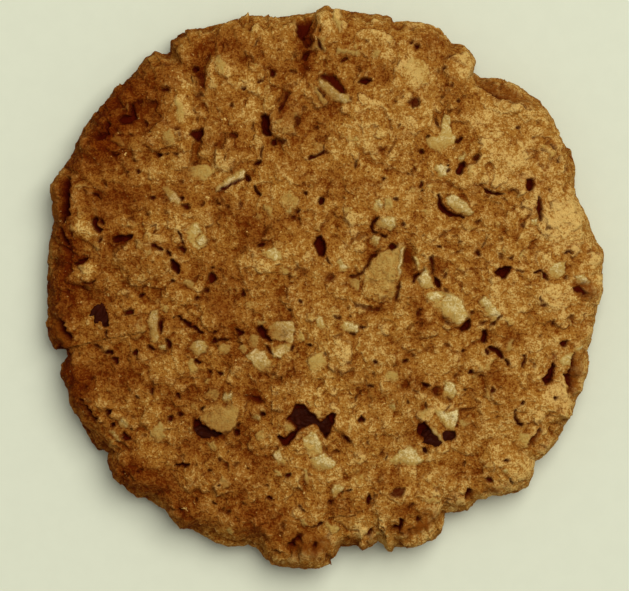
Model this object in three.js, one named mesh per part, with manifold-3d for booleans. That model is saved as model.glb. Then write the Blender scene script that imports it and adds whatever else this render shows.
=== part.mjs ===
// An oatmeal raisin cookie lying flat on its base: one piece of baked dough, with rolled oats and
// crags standing out of it, and four raisins sunk in open sockets in its top.
//
// Millimetres, +Z up. The origin is on the surface that the cookie rests on, under its middle.

import * as THREE from 'three';
import { mergeVertices } from 'three/addons/utils/BufferGeometryUtils.js';
import { SimplexNoise } from 'three/addons/math/SimplexNoise.js';
import Module from 'manifold-3d';

// ---------------------------------------------------------------- driving dimensions

const MEAN_RADIUS = 39.1;       // of the outline, before its lobes and notches
const CROWN_HEIGHT = 10.4;      // top of the dough at the middle
const SHOULDER_HEIGHT = 8.2;    // where the top rolls over into the side
const SHOULDER_INSET = 3.6;     // from the shoulder out to the widest point of the side
const BELLY_HEIGHT = 3.0;       // height of that widest point
const FOOT_INSET = 1.9;         // from the widest point back in to the flat base
const BELOW_BASE = 1.2;         // dough made under the base plane, then cut off flat
const DOME_POWER = 2.6;         // how late the flat top starts to fall towards the shoulder

const CRAG_SIZE = 5.2;          // of the broad lumps all over the top
const CRAG_HEIGHT = 0.42;
const GRIT_SIZE = 2.3;          // of the small lumps between them
const GRIT_HEIGHT = 0.24;
const SIDE_CRAG_SIZE = 3.6;     // of the lumps on the side
const SIDE_CRAG_DEPTH = 0.6;    // in and out of the side

const RAISIN_GAP = 0.4;         // clear space between a raisin and its socket
const SEED = 29;

// The dough starts as a square block. Its top becomes the round top, and its four sides the rim.
const BLOCK_STEPS_ACROSS = 38;
const BLOCK_STEPS_DOWN = 7;
const BELLY_SHARE = 0.65;       // of the way down the block's side that ends at the widest point
const LOBE_FADE = 6;            // how fast the rim's lobes die out towards the middle

const RAISIN_DETAIL = 3;        // subdivisions of the balls that the smaller pieces are shaped from
const LUMP_DETAIL = 2;
const FLAKE_DETAIL = 1;

// ---------------------------------------------------------------- what is on the cookie

// Lobes (reach > 0) and notches (reach < 0) of the rim: bearing from +X and half-width in degrees.
const RIM_WAVES = [
  { bearing: 4, reach: 0.35, spread: 5 },
  { bearing: 18, reach: -1.35, spread: 8 },
  { bearing: 27.5, reach: 0.5, spread: 2.2 },
  { bearing: 39, reach: 1.0, spread: 7 },
  { bearing: 54, reach: -2.7, spread: 2.8 },
  { bearing: 68, reach: 0.7, spread: 4 },
  { bearing: 90, reach: 0.6, spread: 1.8 },
  { bearing: 95, reach: -0.7, spread: 6 },
  { bearing: 110, reach: 0.6, spread: 8 },
  { bearing: 119, reach: 1.0, spread: 2.5 },
  { bearing: 127.5, reach: 0.8, spread: 1.8 },
  { bearing: 138, reach: 1.35, spread: 18 },
  { bearing: 159, reach: 1.75, spread: 4 },
  { bearing: 188.5, reach: 0.5, spread: 3 },
  { bearing: 195, reach: -1.1, spread: 1.8 },
  { bearing: 206, reach: 0.3, spread: 5 },
  { bearing: 217.5, reach: -0.8, spread: 1.8 },
  { bearing: 224, reach: 1.0, spread: 4 },
  { bearing: 234, reach: -0.5, spread: 3 },
  { bearing: 245, reach: -0.3, spread: 8 },
  { bearing: 254, reach: -1.3, spread: 2.4 },
  { bearing: 262, reach: 0.6, spread: 5 },
  { bearing: 275, reach: -2.5, spread: 3 },
  { bearing: 280.5, reach: -1.6, spread: 3 },
  { bearing: 285.5, reach: -0.9, spread: 4 },
  { bearing: 298.5, reach: -2.7, spread: 3.6 },
  { bearing: 306, reach: -1.8, spread: 4 },
  { bearing: 315.5, reach: 0.9, spread: 3.5 },
  { bearing: 321.5, reach: -0.8, spread: 2.4 },
  { bearing: 347.5, reach: -1.05, spread: 4 },
  { bearing: 354, reach: -0.7, spread: 3 },
];

// Swellings (height > 0) and hollows (height < 0) of the top, each an oval turned by `turn` degrees.
const SWELLINGS = [
  { x: -26.1, y: 3.3, long: 10.5, wide: 8, turn: 10, height: 0.9 },
  { x: 24.7, y: 16.0, long: 6.4, wide: 5.8, turn: 0, height: 0.8 },
  { x: -14.4, y: -17.6, long: 7.4, wide: 5.8, turn: 20, height: 0.6 },
  { x: 8.6, y: 7.3, long: 5.4, wide: 4.4, turn: 60, height: 0.6 },
  { x: 0.8, y: 28.0, long: 6.0, wide: 3.6, turn: -30, height: 0.7 },
  { x: 16.9, y: -1.2, long: 8.4, wide: 5.4, turn: 100, height: 0.5 },
  { x: -12, y: 27, long: 12, wide: 7, turn: 20, height: 0.5 },
  { x: 10, y: -31, long: 9, wide: 5, turn: 0, height: 0.5 },
  { x: -28.9, y: 6.6, long: 2.6, wide: 2.0, turn: -20, height: -1.3 },
  { x: -20.9, y: 2.9, long: 2.6, wide: 1.9, turn: 70, height: -1.2 },
  { x: -8.3, y: 22.7, long: 3.2, wide: 1.9, turn: 100, height: -1.4 },
  { x: -0.8, y: 5.6, long: 2.5, wide: 1.6, turn: 95, height: -1.3 },
  { x: -18, y: 21.5, long: 2.6, wide: 2.2, turn: 0, height: -0.9 },
  { x: 1.4, y: 25.6, long: 4.6, wide: 1.8, turn: -40, height: -0.9 },
  { x: 16.9, y: 10.6, long: 4.2, wide: 1.8, turn: -70, height: -0.9 },
  { x: 31.4, y: -12, long: 3.6, wide: 2.2, turn: 60, height: -1.3 },
  { x: -18.8, y: -5.2, long: 5.0, wide: 1.6, turn: -25, height: -0.8 },
  { x: -36.6, y: 12.9, long: 6.0, wide: 1.8, turn: 70, height: -1.0 },
];

// Oat flakes lying in the top: `lean` tips the end that `turn` points to up out of the dough.
const OAT_FLAKES = [
  { x: -14.6, y: -17.7, long: 6.3, wide: 5.0, turn: 20, lean: 6 },
  { x: -0.9, y: -22.5, long: 5.8, wide: 3.8, turn: -60, lean: 8 },
  { x: 17.4, y: -14.3, long: 3.4, wide: 2.6, turn: 70, lean: 10 },
  { x: 17.0, y: -18.2, long: 4.0, wide: 3.0, turn: 50, lean: 12 },
  { x: 11.7, y: -23.6, long: 4.8, wide: 2.8, turn: 0, lean: 8 },
  { x: 16.2, y: 20.4, long: 4.4, wide: 3.0, turn: 20, lean: 10 },
  { x: 17.0, y: 23.0, long: 3.2, wide: 1.8, turn: 80, lean: 8 },
  { x: 19.0, y: 11.5, long: 4.4, wide: 3.2, turn: -30, lean: 12 },
  { x: 24.7, y: 16.0, long: 5.8, wide: 5.2, turn: 0, lean: 4 },
  { x: 1.0, y: 27.6, long: 4.8, wide: 3.4, turn: -45, lean: 14 },
  { x: -13.4, y: 15.0, long: 5.4, wide: 1.7, turn: 40, lean: 6 },
  { x: -16.9, y: 15.7, long: 4.8, wide: 3.8, turn: 0, lean: 5 },
  { x: -17.4, y: 7.1, long: 3.6, wide: 3.0, turn: 30, lean: 8 },
  { x: -23.3, y: -6.0, long: 5.8, wide: 3.2, turn: 80, lean: 6 },
  { x: -17.8, y: -8.3, long: 3.4, wide: 2.8, turn: 0, lean: 8 },
  { x: -6.2, y: -7.2, long: 4.6, wide: 3.4, turn: 100, lean: 8 },
  { x: -9.3, y: -10.0, long: 3.6, wide: 3.0, turn: 30, lean: 8 },
  { x: 3.3, y: -5.5, long: 3.6, wide: 2.2, turn: 0, lean: 12 },
  { x: 16.4, y: -1.6, long: 5.4, wide: 4.2, turn: -50, lean: 8 },
  { x: 23.0, y: -3.2, long: 4.0, wide: 3.2, turn: -20, lean: 10 },
  { x: 8.4, y: 7.6, long: 4.2, wide: 3.6, turn: 60, lean: 10 },
  { x: -28.6, y: -19.6, long: 3.6, wide: 2.6, turn: -50, lean: 8 },
  { x: -23.2, y: -20.6, long: 4.0, wide: 2.4, turn: 90, lean: 8 },
];
const FLAKE_THICKNESS = 1.3;
const FLAKE_RISE = 0.05;        // of a flake's middle over the dough that it lies in

// The largest flake is a broken, angular blade. Its corners run round from its pointed tip.
const BLADE_CORNERS = [
  [10.9, 5.9], [10.6, 2.6], [9.6, -1.4], [6.0, -2.5], [4.0, -0.5], [4.4, 1.2], [7.2, 4.4],
];
const BLADE_THICKNESS = 1.6;
const BLADE_RISE = 0.5;         // of its face over the dough

// Lumps that make up the rim: each a crumb of dough fused to the side.
const RIM_LUMPS = [
  { x: -3.2, y: -37.0, z: 4.4, long: 10.5, wide: 4.6, tall: 6.4, turn: 0 },
  { x: 12.6, y: -34.6, z: 4.6, long: 7.5, wide: 4.6, tall: 6.6, turn: 20 },
  { x: -37.0, y: -6.6, z: 3.8, long: 4.6, wide: 3.6, tall: 5.0, turn: 90 },
  { x: -36.9, y: 12.8, z: 3.6, long: 5.4, wide: 3.4, tall: 5.0, turn: 75 },
  { x: 0.3, y: 37.3, z: 5.2, long: 4.6, wide: 3.6, tall: 6.0, turn: 10 },
  { x: 37.3, y: -0.4, z: 4.6, long: 3.8, wide: 3.4, tall: 5.0, turn: 80 },
  { x: 35.3, y: -13.0, z: 3.2, long: 7.2, wide: 3.4, tall: 4.6, turn: 70 },
  { x: 25.6, y: 27.6, z: 3.0, long: 8.0, wide: 3.8, tall: 4.4, turn: -28 },
  { x: 30.6, y: 23.0, z: 4.4, long: 6.0, wide: 4.2, tall: 6.0, turn: -45 },
  { x: -28.6, y: -24.6, z: 4.2, long: 6.0, wide: 3.8, tall: 5.6, turn: -45 },
];

// Raisins, most of each inside the dough. z is the height of its middle.
const RAISINS = [
  { name: 'raisin_1', x: -2.4, y: -18.7, z: 7.95, long: 8.6, wide: 5.4, tall: 3.8, turn: -8 },
  { name: 'raisin_2', x: 15.6, y: -21.0, z: 7.55, long: 7.2, wide: 4.6, tall: 3.6, turn: 28 },
  { name: 'raisin_3', x: -31.2, y: -4.2, z: 7.1, long: 6.6, wide: 4.2, tall: 3.4, turn: 70 },
  { name: 'raisin_4', x: -16.6, y: -20.6, z: 7.6, long: 6.4, wide: 3.8, tall: 3.2, turn: -12 },
];
const HOLLOW_DEPTH = 0.8;       // of the dip in the dough that each raisin lies in
const HOLLOW_MARGIN = 1.0;      // of that dip, all round its raisin
const RAISIN_WRINKLE = 0.14;    // as a share of its half size
const RAISIN_FOLDS = new THREE.Vector3(1.6, 2.4, 1.8);    // how closely they lie, each way

// ---------------------------------------------------------------- materials

function makeMaterials() {
  return {
    dough: new THREE.MeshStandardMaterial({ color: 0x8a5a26, roughness: 0.93, metalness: 0 }),
    raisin: new THREE.MeshStandardMaterial({ color: 0x2a1210, roughness: 0.55, metalness: 0 }),
  };
}

// ---------------------------------------------------------------- small helpers

const radians = THREE.MathUtils.degToRad;

function makeRandom(seed) {
  let state = seed;
  return () => {
    state = (state * 1664525 + 1013904223) % 4294967296;
    return state / 4294967296;
  };
}

const noise = new SimplexNoise({ random: makeRandom(SEED) });

const OVAL_STEEPNESS = 3;

// 1 at the middle of the oval and 0 well outside it.
function ovalFalloff(oval, x, y) {
  const c = Math.cos(radians(oval.turn));
  const s = Math.sin(radians(oval.turn));
  const along = ((x - oval.x) * c + (y - oval.y) * s) / (oval.long / 2);
  const across = ((y - oval.y) * c - (x - oval.x) * s) / (oval.wide / 2);
  return Math.exp(-Math.pow(Math.hypot(along, across), OVAL_STEEPNESS));
}

// ---------------------------------------------------------------- the dough's surface

function rimRadius(bearing) {
  let radius = MEAN_RADIUS;
  for (const wave of RIM_WAVES) {
    const turn = THREE.MathUtils.euclideanModulo(bearing - wave.bearing + 180, 360) - 180;
    radius += wave.reach * Math.exp(-Math.pow(turn / wave.spread, 2));
  }
  return radius;
}

function topHeight(x, y) {
  const bearing = THREE.MathUtils.radToDeg(Math.atan2(y, x));
  const out = Math.hypot(x, y) / (rimRadius(bearing) - SHOULDER_INSET);
  let height = THREE.MathUtils.lerp(CROWN_HEIGHT, SHOULDER_HEIGHT, Math.pow(out, DOME_POWER));
  height += CRAG_HEIGHT * noise.noise(x / CRAG_SIZE, y / CRAG_SIZE);
  height += GRIT_HEIGHT * noise.noise(y / GRIT_SIZE, x / GRIT_SIZE);
  for (const swelling of SWELLINGS) {
    height += swelling.height * ovalFalloff(swelling, x, y);
  }
  for (const raisin of RAISINS) {
    const long = raisin.long + HOLLOW_MARGIN * 2;
    const wide = raisin.wide + HOLLOW_MARGIN * 2;
    height -= HOLLOW_DEPTH * ovalFalloff({ ...raisin, long, wide }, x, y);
  }
  return height;
}

// How far the side stands out or in at a point near it.
function sideCrag(x, y, z) {
  return SIDE_CRAG_DEPTH * noise.noise3d(x / SIDE_CRAG_SIZE, y / SIDE_CRAG_SIZE, z / SIDE_CRAG_SIZE);
}

// Distance from the middle (0 to 1) and bearing of a point of the square block on a round disc.
function squareToDisc(x, y) {
  if (x === 0 && y === 0) {
    return { out: 0, bearing: 0 };
  }
  const quarter = Math.PI / 4;
  if (Math.abs(x) > Math.abs(y)) {
    return { out: Math.abs(x), bearing: quarter * (y / x) + (x < 0 ? Math.PI : 0) };
  }
  return { out: Math.abs(y), bearing: quarter * (2 - x / y) + (y < 0 ? Math.PI : 0) };
}

// The side's reach from the middle and its height, `down` going from 0 at the shoulder to 1 below
// the base.
function sideProfile(rim, east, north, down) {
  const shoulder = rim - SHOULDER_INSET;
  if (down < BELLY_SHARE) {
    const roll = (down / BELLY_SHARE) * (Math.PI / 2);
    const edge = topHeight(shoulder * east, shoulder * north);
    const height = THREE.MathUtils.lerp(BELLY_HEIGHT, edge, Math.cos(roll));
    const crag = sideCrag(rim * east, rim * north, height) * Math.sin(roll);
    return { reach: shoulder + SHOULDER_INSET * Math.sin(roll) + crag, height };
  }
  const under = (down - BELLY_SHARE) / (1 - BELLY_SHARE);
  const height = THREE.MathUtils.lerp(BELLY_HEIGHT, -BELOW_BASE, under);
  const inset = FOOT_INSET * Math.pow(1 - height / BELLY_HEIGHT, 2);
  const crag = sideCrag(rim * east, rim * north, height) * (1 - under);
  return { reach: rim - inset + crag, height };
}

// Moves one point of the block, 2 wide and 1 tall about its middle, to its place on the dough.
function shapeDough(point) {
  const { out, bearing } = squareToDisc(point.x, point.y);
  const east = Math.cos(bearing);
  const north = Math.sin(bearing);
  const rim = rimRadius(THREE.MathUtils.radToDeg(bearing));
  if (point.z === 0.5) {
    const lobe = (rim - MEAN_RADIUS) * Math.pow(out, LOBE_FADE);
    const reach = (MEAN_RADIUS - SHOULDER_INSET) * out + lobe;
    point.set(reach * east, reach * north, topHeight(reach * east, reach * north));
  } else {
    const { reach, height } = sideProfile(rim, east, north, 0.5 - point.z);
    point.set(reach * out * east, reach * out * north, height);
  }
}

// ---------------------------------------------------------------- joining and cutting

const wasm = await Module();
wasm.setup();

function toSolid(geometry) {
  const bare = geometry.clone();
  bare.deleteAttribute('normal');
  bare.deleteAttribute('uv');
  const merged = mergeVertices(bare, 1e-4);
  return new wasm.Manifold(new wasm.Mesh({
    numProp: 3,
    vertProperties: new Float32Array(merged.attributes.position.array),
    triVerts: new Uint32Array(merged.index.array),
  }));
}

function toGeometry(solid) {
  const mesh = solid.getMesh();
  const geometry = new THREE.BufferGeometry();
  geometry.setAttribute('position', new THREE.BufferAttribute(mesh.vertProperties, 3));
  geometry.setIndex(new THREE.BufferAttribute(mesh.triVerts, 1));
  geometry.computeVertexNormals();
  return geometry;
}

// The largest body of a solid, without scraps that a cut left loose.
function mainBody(solid) {
  const bodies = solid.decompose();
  bodies.sort((a, b) => b.volume() - a.volume());
  return bodies[0];
}

// ---------------------------------------------------------------- pieces

function shapePoints(geometry, shape) {
  const points = geometry.attributes.position;
  const point = new THREE.Vector3();
  for (let i = 0; i < points.count; i += 1) {
    point.fromBufferAttribute(points, i);
    shape(point);
    points.setXYZ(i, point.x, point.y, point.z);
  }
  return geometry;
}

// An oval ball with its long side turned by `turn` and tipped up by `lean`, in degrees.
function ovalBall({ x, y, z, long, wide, tall, turn, lean = 0 }, detail) {
  const geometry = new THREE.IcosahedronGeometry(1, detail);
  geometry.scale(long / 2, wide / 2, tall / 2);
  geometry.rotateY(radians(-lean));
  geometry.rotateZ(radians(turn));
  geometry.translate(x, y, z);
  return geometry;
}

function doughSolid() {
  const across = BLOCK_STEPS_ACROSS;
  const block = new THREE.BoxGeometry(2, 2, 1, across, across, BLOCK_STEPS_DOWN);
  return toSolid(shapePoints(block, shapeDough));
}

function flakeSolid(flake) {
  const z = topHeight(flake.x, flake.y) + FLAKE_RISE;
  return toSolid(ovalBall({ ...flake, z, tall: FLAKE_THICKNESS }, FLAKE_DETAIL));
}

function bladeSolid() {
  const corners = BLADE_CORNERS.map(([x, y]) => new THREE.Vector2(x, y));
  const middle = new THREE.Vector2();
  for (const corner of corners) {
    middle.addScaledVector(corner, 1 / corners.length);
  }
  const shape = new THREE.Shape(corners);
  const geometry = new THREE.ExtrudeGeometry(shape, { depth: BLADE_THICKNESS, bevelEnabled: false });
  const face = topHeight(middle.x, middle.y) + BLADE_RISE;
  return toSolid(geometry.translate(0, 0, face - BLADE_THICKNESS));
}

// A raisin about its own middle, grown all round by `growth`.
function raisinGeometry(raisin, growth) {
  const half = new THREE.Vector3(raisin.long, raisin.wide, raisin.tall).multiplyScalar(0.5);
  return shapePoints(new THREE.IcosahedronGeometry(1, RAISIN_DETAIL), (point) => {
    const outward = point.clone();
    const { x, y, z } = outward.clone().multiply(RAISIN_FOLDS);
    const fold = noise.noise3d(x + raisin.x, y + raisin.y, z);
    const swell = 1 - RAISIN_WRINKLE * (1 - Math.abs(fold));
    point.multiply(half).multiplyScalar(swell);
    point.addScaledVector(outward, growth);
  });
}

function placeRaisin(object, raisin) {
  object.position.set(raisin.x, raisin.y, raisin.z);
  object.rotation.z = radians(raisin.turn);
  object.updateMatrix();
}

function socketSolid(raisin) {
  const place = new THREE.Object3D();
  placeRaisin(place, raisin);
  return toSolid(raisinGeometry(raisin, RAISIN_GAP).applyMatrix4(place.matrix));
}

// Everything under the plane that the cookie rests on.
function underBaseSolid() {
  const width = MEAN_RADIUS * 3;
  const depth = Math.max(...RIM_LUMPS.map((lump) => lump.tall));
  const box = new THREE.BoxGeometry(width, width, depth);
  return toSolid(box.translate(0, 0, -depth / 2));
}

function makeCookie(material) {
  let solid = doughSolid();
  for (const lump of RIM_LUMPS) {
    solid = solid.add(toSolid(ovalBall(lump, LUMP_DETAIL)));
  }
  for (const flake of OAT_FLAKES) {
    solid = solid.add(flakeSolid(flake));
  }
  solid = solid.add(bladeSolid());
  for (const raisin of RAISINS) {
    solid = solid.subtract(socketSolid(raisin));
  }
  solid = mainBody(solid.subtract(underBaseSolid()));
  const cookie = new THREE.Mesh(toGeometry(solid), material);
  cookie.name = 'cookie';
  return cookie;
}

function makeRaisin(raisin, material) {
  const mesh = new THREE.Mesh(raisinGeometry(raisin, 0), material);
  mesh.name = raisin.name;
  placeRaisin(mesh, raisin);
  return mesh;
}

// ---------------------------------------------------------------- the whole cookie

const materials = makeMaterials();
const oatmealRaisinCookie = new THREE.Group();
oatmealRaisinCookie.add(makeCookie(materials.dough));
for (const raisin of RAISINS) {
  oatmealRaisinCookie.add(makeRaisin(raisin, materials.raisin));
}

export default oatmealRaisinCookie;
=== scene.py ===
"""Dresses an oatmeal raisin cookie: one craggy piece of baked dough with rolled oats in it and four
raisins sunk in its top. Shapes are worked out in millimetres and made in metres."""

import math
from collections import namedtuple

import bmesh
import bpy
import numpy as np
from bpy.props import FloatProperty, FloatVectorProperty, IntProperty, PointerProperty
from mathutils import Matrix, Vector, noise


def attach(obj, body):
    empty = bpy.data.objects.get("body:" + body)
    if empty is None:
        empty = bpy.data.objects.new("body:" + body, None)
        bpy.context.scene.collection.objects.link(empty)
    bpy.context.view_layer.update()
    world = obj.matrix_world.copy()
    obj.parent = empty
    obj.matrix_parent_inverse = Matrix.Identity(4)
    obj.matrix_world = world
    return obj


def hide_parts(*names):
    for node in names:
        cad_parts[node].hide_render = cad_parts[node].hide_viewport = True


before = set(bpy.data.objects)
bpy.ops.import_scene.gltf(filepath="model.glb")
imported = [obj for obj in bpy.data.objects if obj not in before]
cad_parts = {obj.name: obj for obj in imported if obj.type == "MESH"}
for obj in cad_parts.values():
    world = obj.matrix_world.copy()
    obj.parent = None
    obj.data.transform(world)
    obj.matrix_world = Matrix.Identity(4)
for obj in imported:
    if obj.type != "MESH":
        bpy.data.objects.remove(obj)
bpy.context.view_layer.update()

bl_info = {
    "name": "Oat Cookie",
    "version": (1, 0, 0),
    "blender": (4, 5, 0),
    "location": "3D View > Sidebar > Oat Cookie",
    "description": "Makes the dough, oats, raisins and crumbs of an oatmeal raisin cookie",
    "category": "Add Mesh",
}

MM = 0.001

# ------------------------------------------------------------------ the rim and the top

Oval = namedtuple("Oval", "x y long wide turn amount")
Oat = namedtuple("Oat", "x y long wide turn lean rise pale")
Flake = namedtuple("Flake", "rise up pale corners")
Gap = namedtuple("Gap", "depth corners")
Hole = namedtuple("Hole", "x y long wide turn depth")
Crack = namedtuple("Crack", "width depth path")
Raisin = namedtuple("Raisin", "node x y z long wide tall turn")

# Corners of the ragged outline, run round anticlockwise. All places and sizes are in millimetres.
OUTLINE = [
    (38.8, 0.5), (38.9, 2.6), (39.1, 5.1), (38.2, 6.3), (37.5, 8.0), (36.5, 10.5), (35.6, 12.0),
    (34.9, 14.0), (35.1, 17.0), (34.4, 19.4), (33.4, 20.3), (32.1, 23.4), (31.0, 24.9), (30.3, 26.1),
    (29.0, 26.9), (27.2, 28.2), (24.0, 29.3), (22.0, 29.3), (20.7, 30.2), (21.2, 31.7), (20.7, 32.7),
    (19.6, 33.8), (17.8, 34.3), (16.1, 36.2), (13.5, 37.2), (9.8, 37.2), (8.8, 38.1), (6.0, 38.3),
    (3.5, 38.7), (1.2, 38.9), (0.2, 39.4), (-1.2, 38.5), (-4.0, 38.1), (-6.5, 37.8), (-11.0, 38.1),
    (-14.0, 37.0), (-17.0, 36.3), (-19.5, 36.0), (-21.2, 34.6), (-21.5, 32.9), (-22.8, 32.6), (-23.8, 33.0),
    (-25.0, 32.2), (-26.8, 29.8), (-28.0, 28.7), (-29.7, 27.5), (-30.5, 26.0), (-31.8, 24.7), (-33.0, 23.3),
    (-34.8, 20.0), (-35.5, 18.2), (-36.7, 16.5), (-38.4, 14.2), (-38.1, 12.0), (-37.9, 9.2), (-38.5, 6.0),
    (-38.7, 2.5), (-38.6, -4.0), (-38.9, -5.5), (-38.5, -7.3), (-37.5, -8.8), (-36.3, -8.6), (-36.0, -9.5),
    (-36.9, -10.8), (-36.9, -12.3), (-35.9, -14.4), (-35.6, -16.4), (-34.3, -18.5), (-32.9, -21.2),
    (-31.8, -22.7), (-30.2, -23.0), (-30.3, -24.7), (-29.6, -26.5), (-28.4, -27.6), (-26.3, -29.3),
    (-25.2, -29.4), (-22.5, -30.9), (-21.2, -32.6), (-20.2, -33.7), (-18.3, -33.9), (-15.5, -35.6),
    (-13.5, -36.3), (-10.5, -36.0), (-8.9, -36.8), (-8.0, -38.2), (-6.4, -39.0), (-2.5, -39.3),
    (-0.4, -39.1), (0.9, -38.4), (1.6, -37.4), (2.3, -36.2), (4.5, -36.2), (5.3, -36.8), (6.5, -36.3),
    (7.5, -35.4), (8.6, -36.1), (9.1, -37.3), (9.7, -36.3), (12.5, -36.3), (15.2, -35.3), (16.4, -34.3),
    (16.8, -31.6), (19.2, -31.3), (20.0, -31.3), (21.3, -29.8), (22.6, -29.6), (23.2, -29.1), (24.1, -29.3),
    (26.8, -28.8), (28.5, -27.8), (29.0, -26.2), (29.3, -24.4), (31.1, -23.2), (32.5, -21.5), (33.7, -19.2),
    (34.8, -17.4), (35.2, -15.8), (36.0, -14.4), (36.8, -12.0), (37.0, -9.7), (36.7, -8.8), (37.3, -7.4),
    (37.9, -4.2), (38.4, -2.2), (38.9, -0.4),
]

# Broad swellings and hollows of the top.
SWELLINGS = [Oval(*oval) for oval in (
    (-25.0, 3.6, 7.6, 6.8, 20, 0.9), (-34.0, 2.1, 4.2, 2.8, 10, 0.6), (-33.8, 8.4, 4.4, 3.0, 0, 0.5),
    (-14.4, -17.8, 7.2, 6.0, 20, 0.6), (8.6, 8.8, 4.4, 3.4, 20, 0.4), (0.8, 28.0, 6, 3.6, -30, 0.6),
    (17.2, -2.9, 7.6, 5.4, -30, 0.5), (12.6, 29.9, 5.2, 5.0, 0, 0.6), (24.6, 16.4, 7.4, 6.6, 0, 0.7),
    (10, -31, 9, 5, 0, 0.5), (-20.5, 26, 8.6, 5.0, 90, 0.5), (-14.3, 30.6, 5.0, 4.0, 60, 0.5),
    (28.6, 25.0, 6.0, 4.0, -40, 0.4), (32.6, -1.3, 6.0, 4.6, 0, 0.6), (33.0, 9.0, 9.0, 6.5, -70, 0.5),
    (-1.2, -10.6, 4.0, 3.6, 0, 0.4), (0.4, 37.2, 3.4, 4.4, 0, 0.8), (-8.0, 4.2, 6.5, 3.4, 0, 0.4),
    (-21.9, 20.9, 3.6, 3.2, 0, 0.4), (-5.0, 12.0, 3.8, 3.4, 0, 0.4), (-23.5, -13.0, 9, 6, 20, 0.4),
    (-9.0, -33.0, 9, 5, 0, 0.5), (24.0, -18.0, 8, 6, 30, 0.4), (8.0, 21.0, 9, 5, 120, 0.4),
    (-36.4, 12.4, 6.4, 1.8, 88, -0.9), (-2.7, 35.0, 6.0, 2.4, 80, -0.6), (26.4, 28.4, 11.0, 3.4, -34, -0.7),
    (8.0, 29.4, 4.0, 2.4, 0, -0.2), (35.4, -12.4, 6.4, 2.4, 78, -0.15), (-36.9, -6.2, 4.6, 1.6, -60, -0.6),
    (14.0, -4.4, 2.0, 4.0, 0, -0.4), (11.8, 3.6, 1.8, 4.6, 0, -0.4), (-17.4, 29.0, 1.8, 5.0, 10, -0.5),
)]

# Lumps of dough that make up the rim: bearing, distance down the side, size and how far they stand out.
RIM_LUMPS = [
    (265, 5.0, 10.5, 4.4, 0.5), (290, 4.6, 7.5, 4.2, 0.4), (190, 5.4, 4.6, 3.6, 0.4),
    (161, 5.2, 5.4, 3.6, 0.4), (89.5, 4.6, 4.6, 3.6, 0.4), (0, 4.6, 3.8, 3.4, 0.3),
    (340, 8.2, 7.2, 3.2, 0.2), (44, 8.6, 7.0, 3.2, 0.5), (37, 5.0, 6.0, 4.2, 0.3),
    (221, 5.0, 6.0, 3.8, 0.4), (318, 5.0, 5.0, 3.6, 0.3), (118, 5.0, 6.0, 3.4, 0.3),
]

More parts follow.
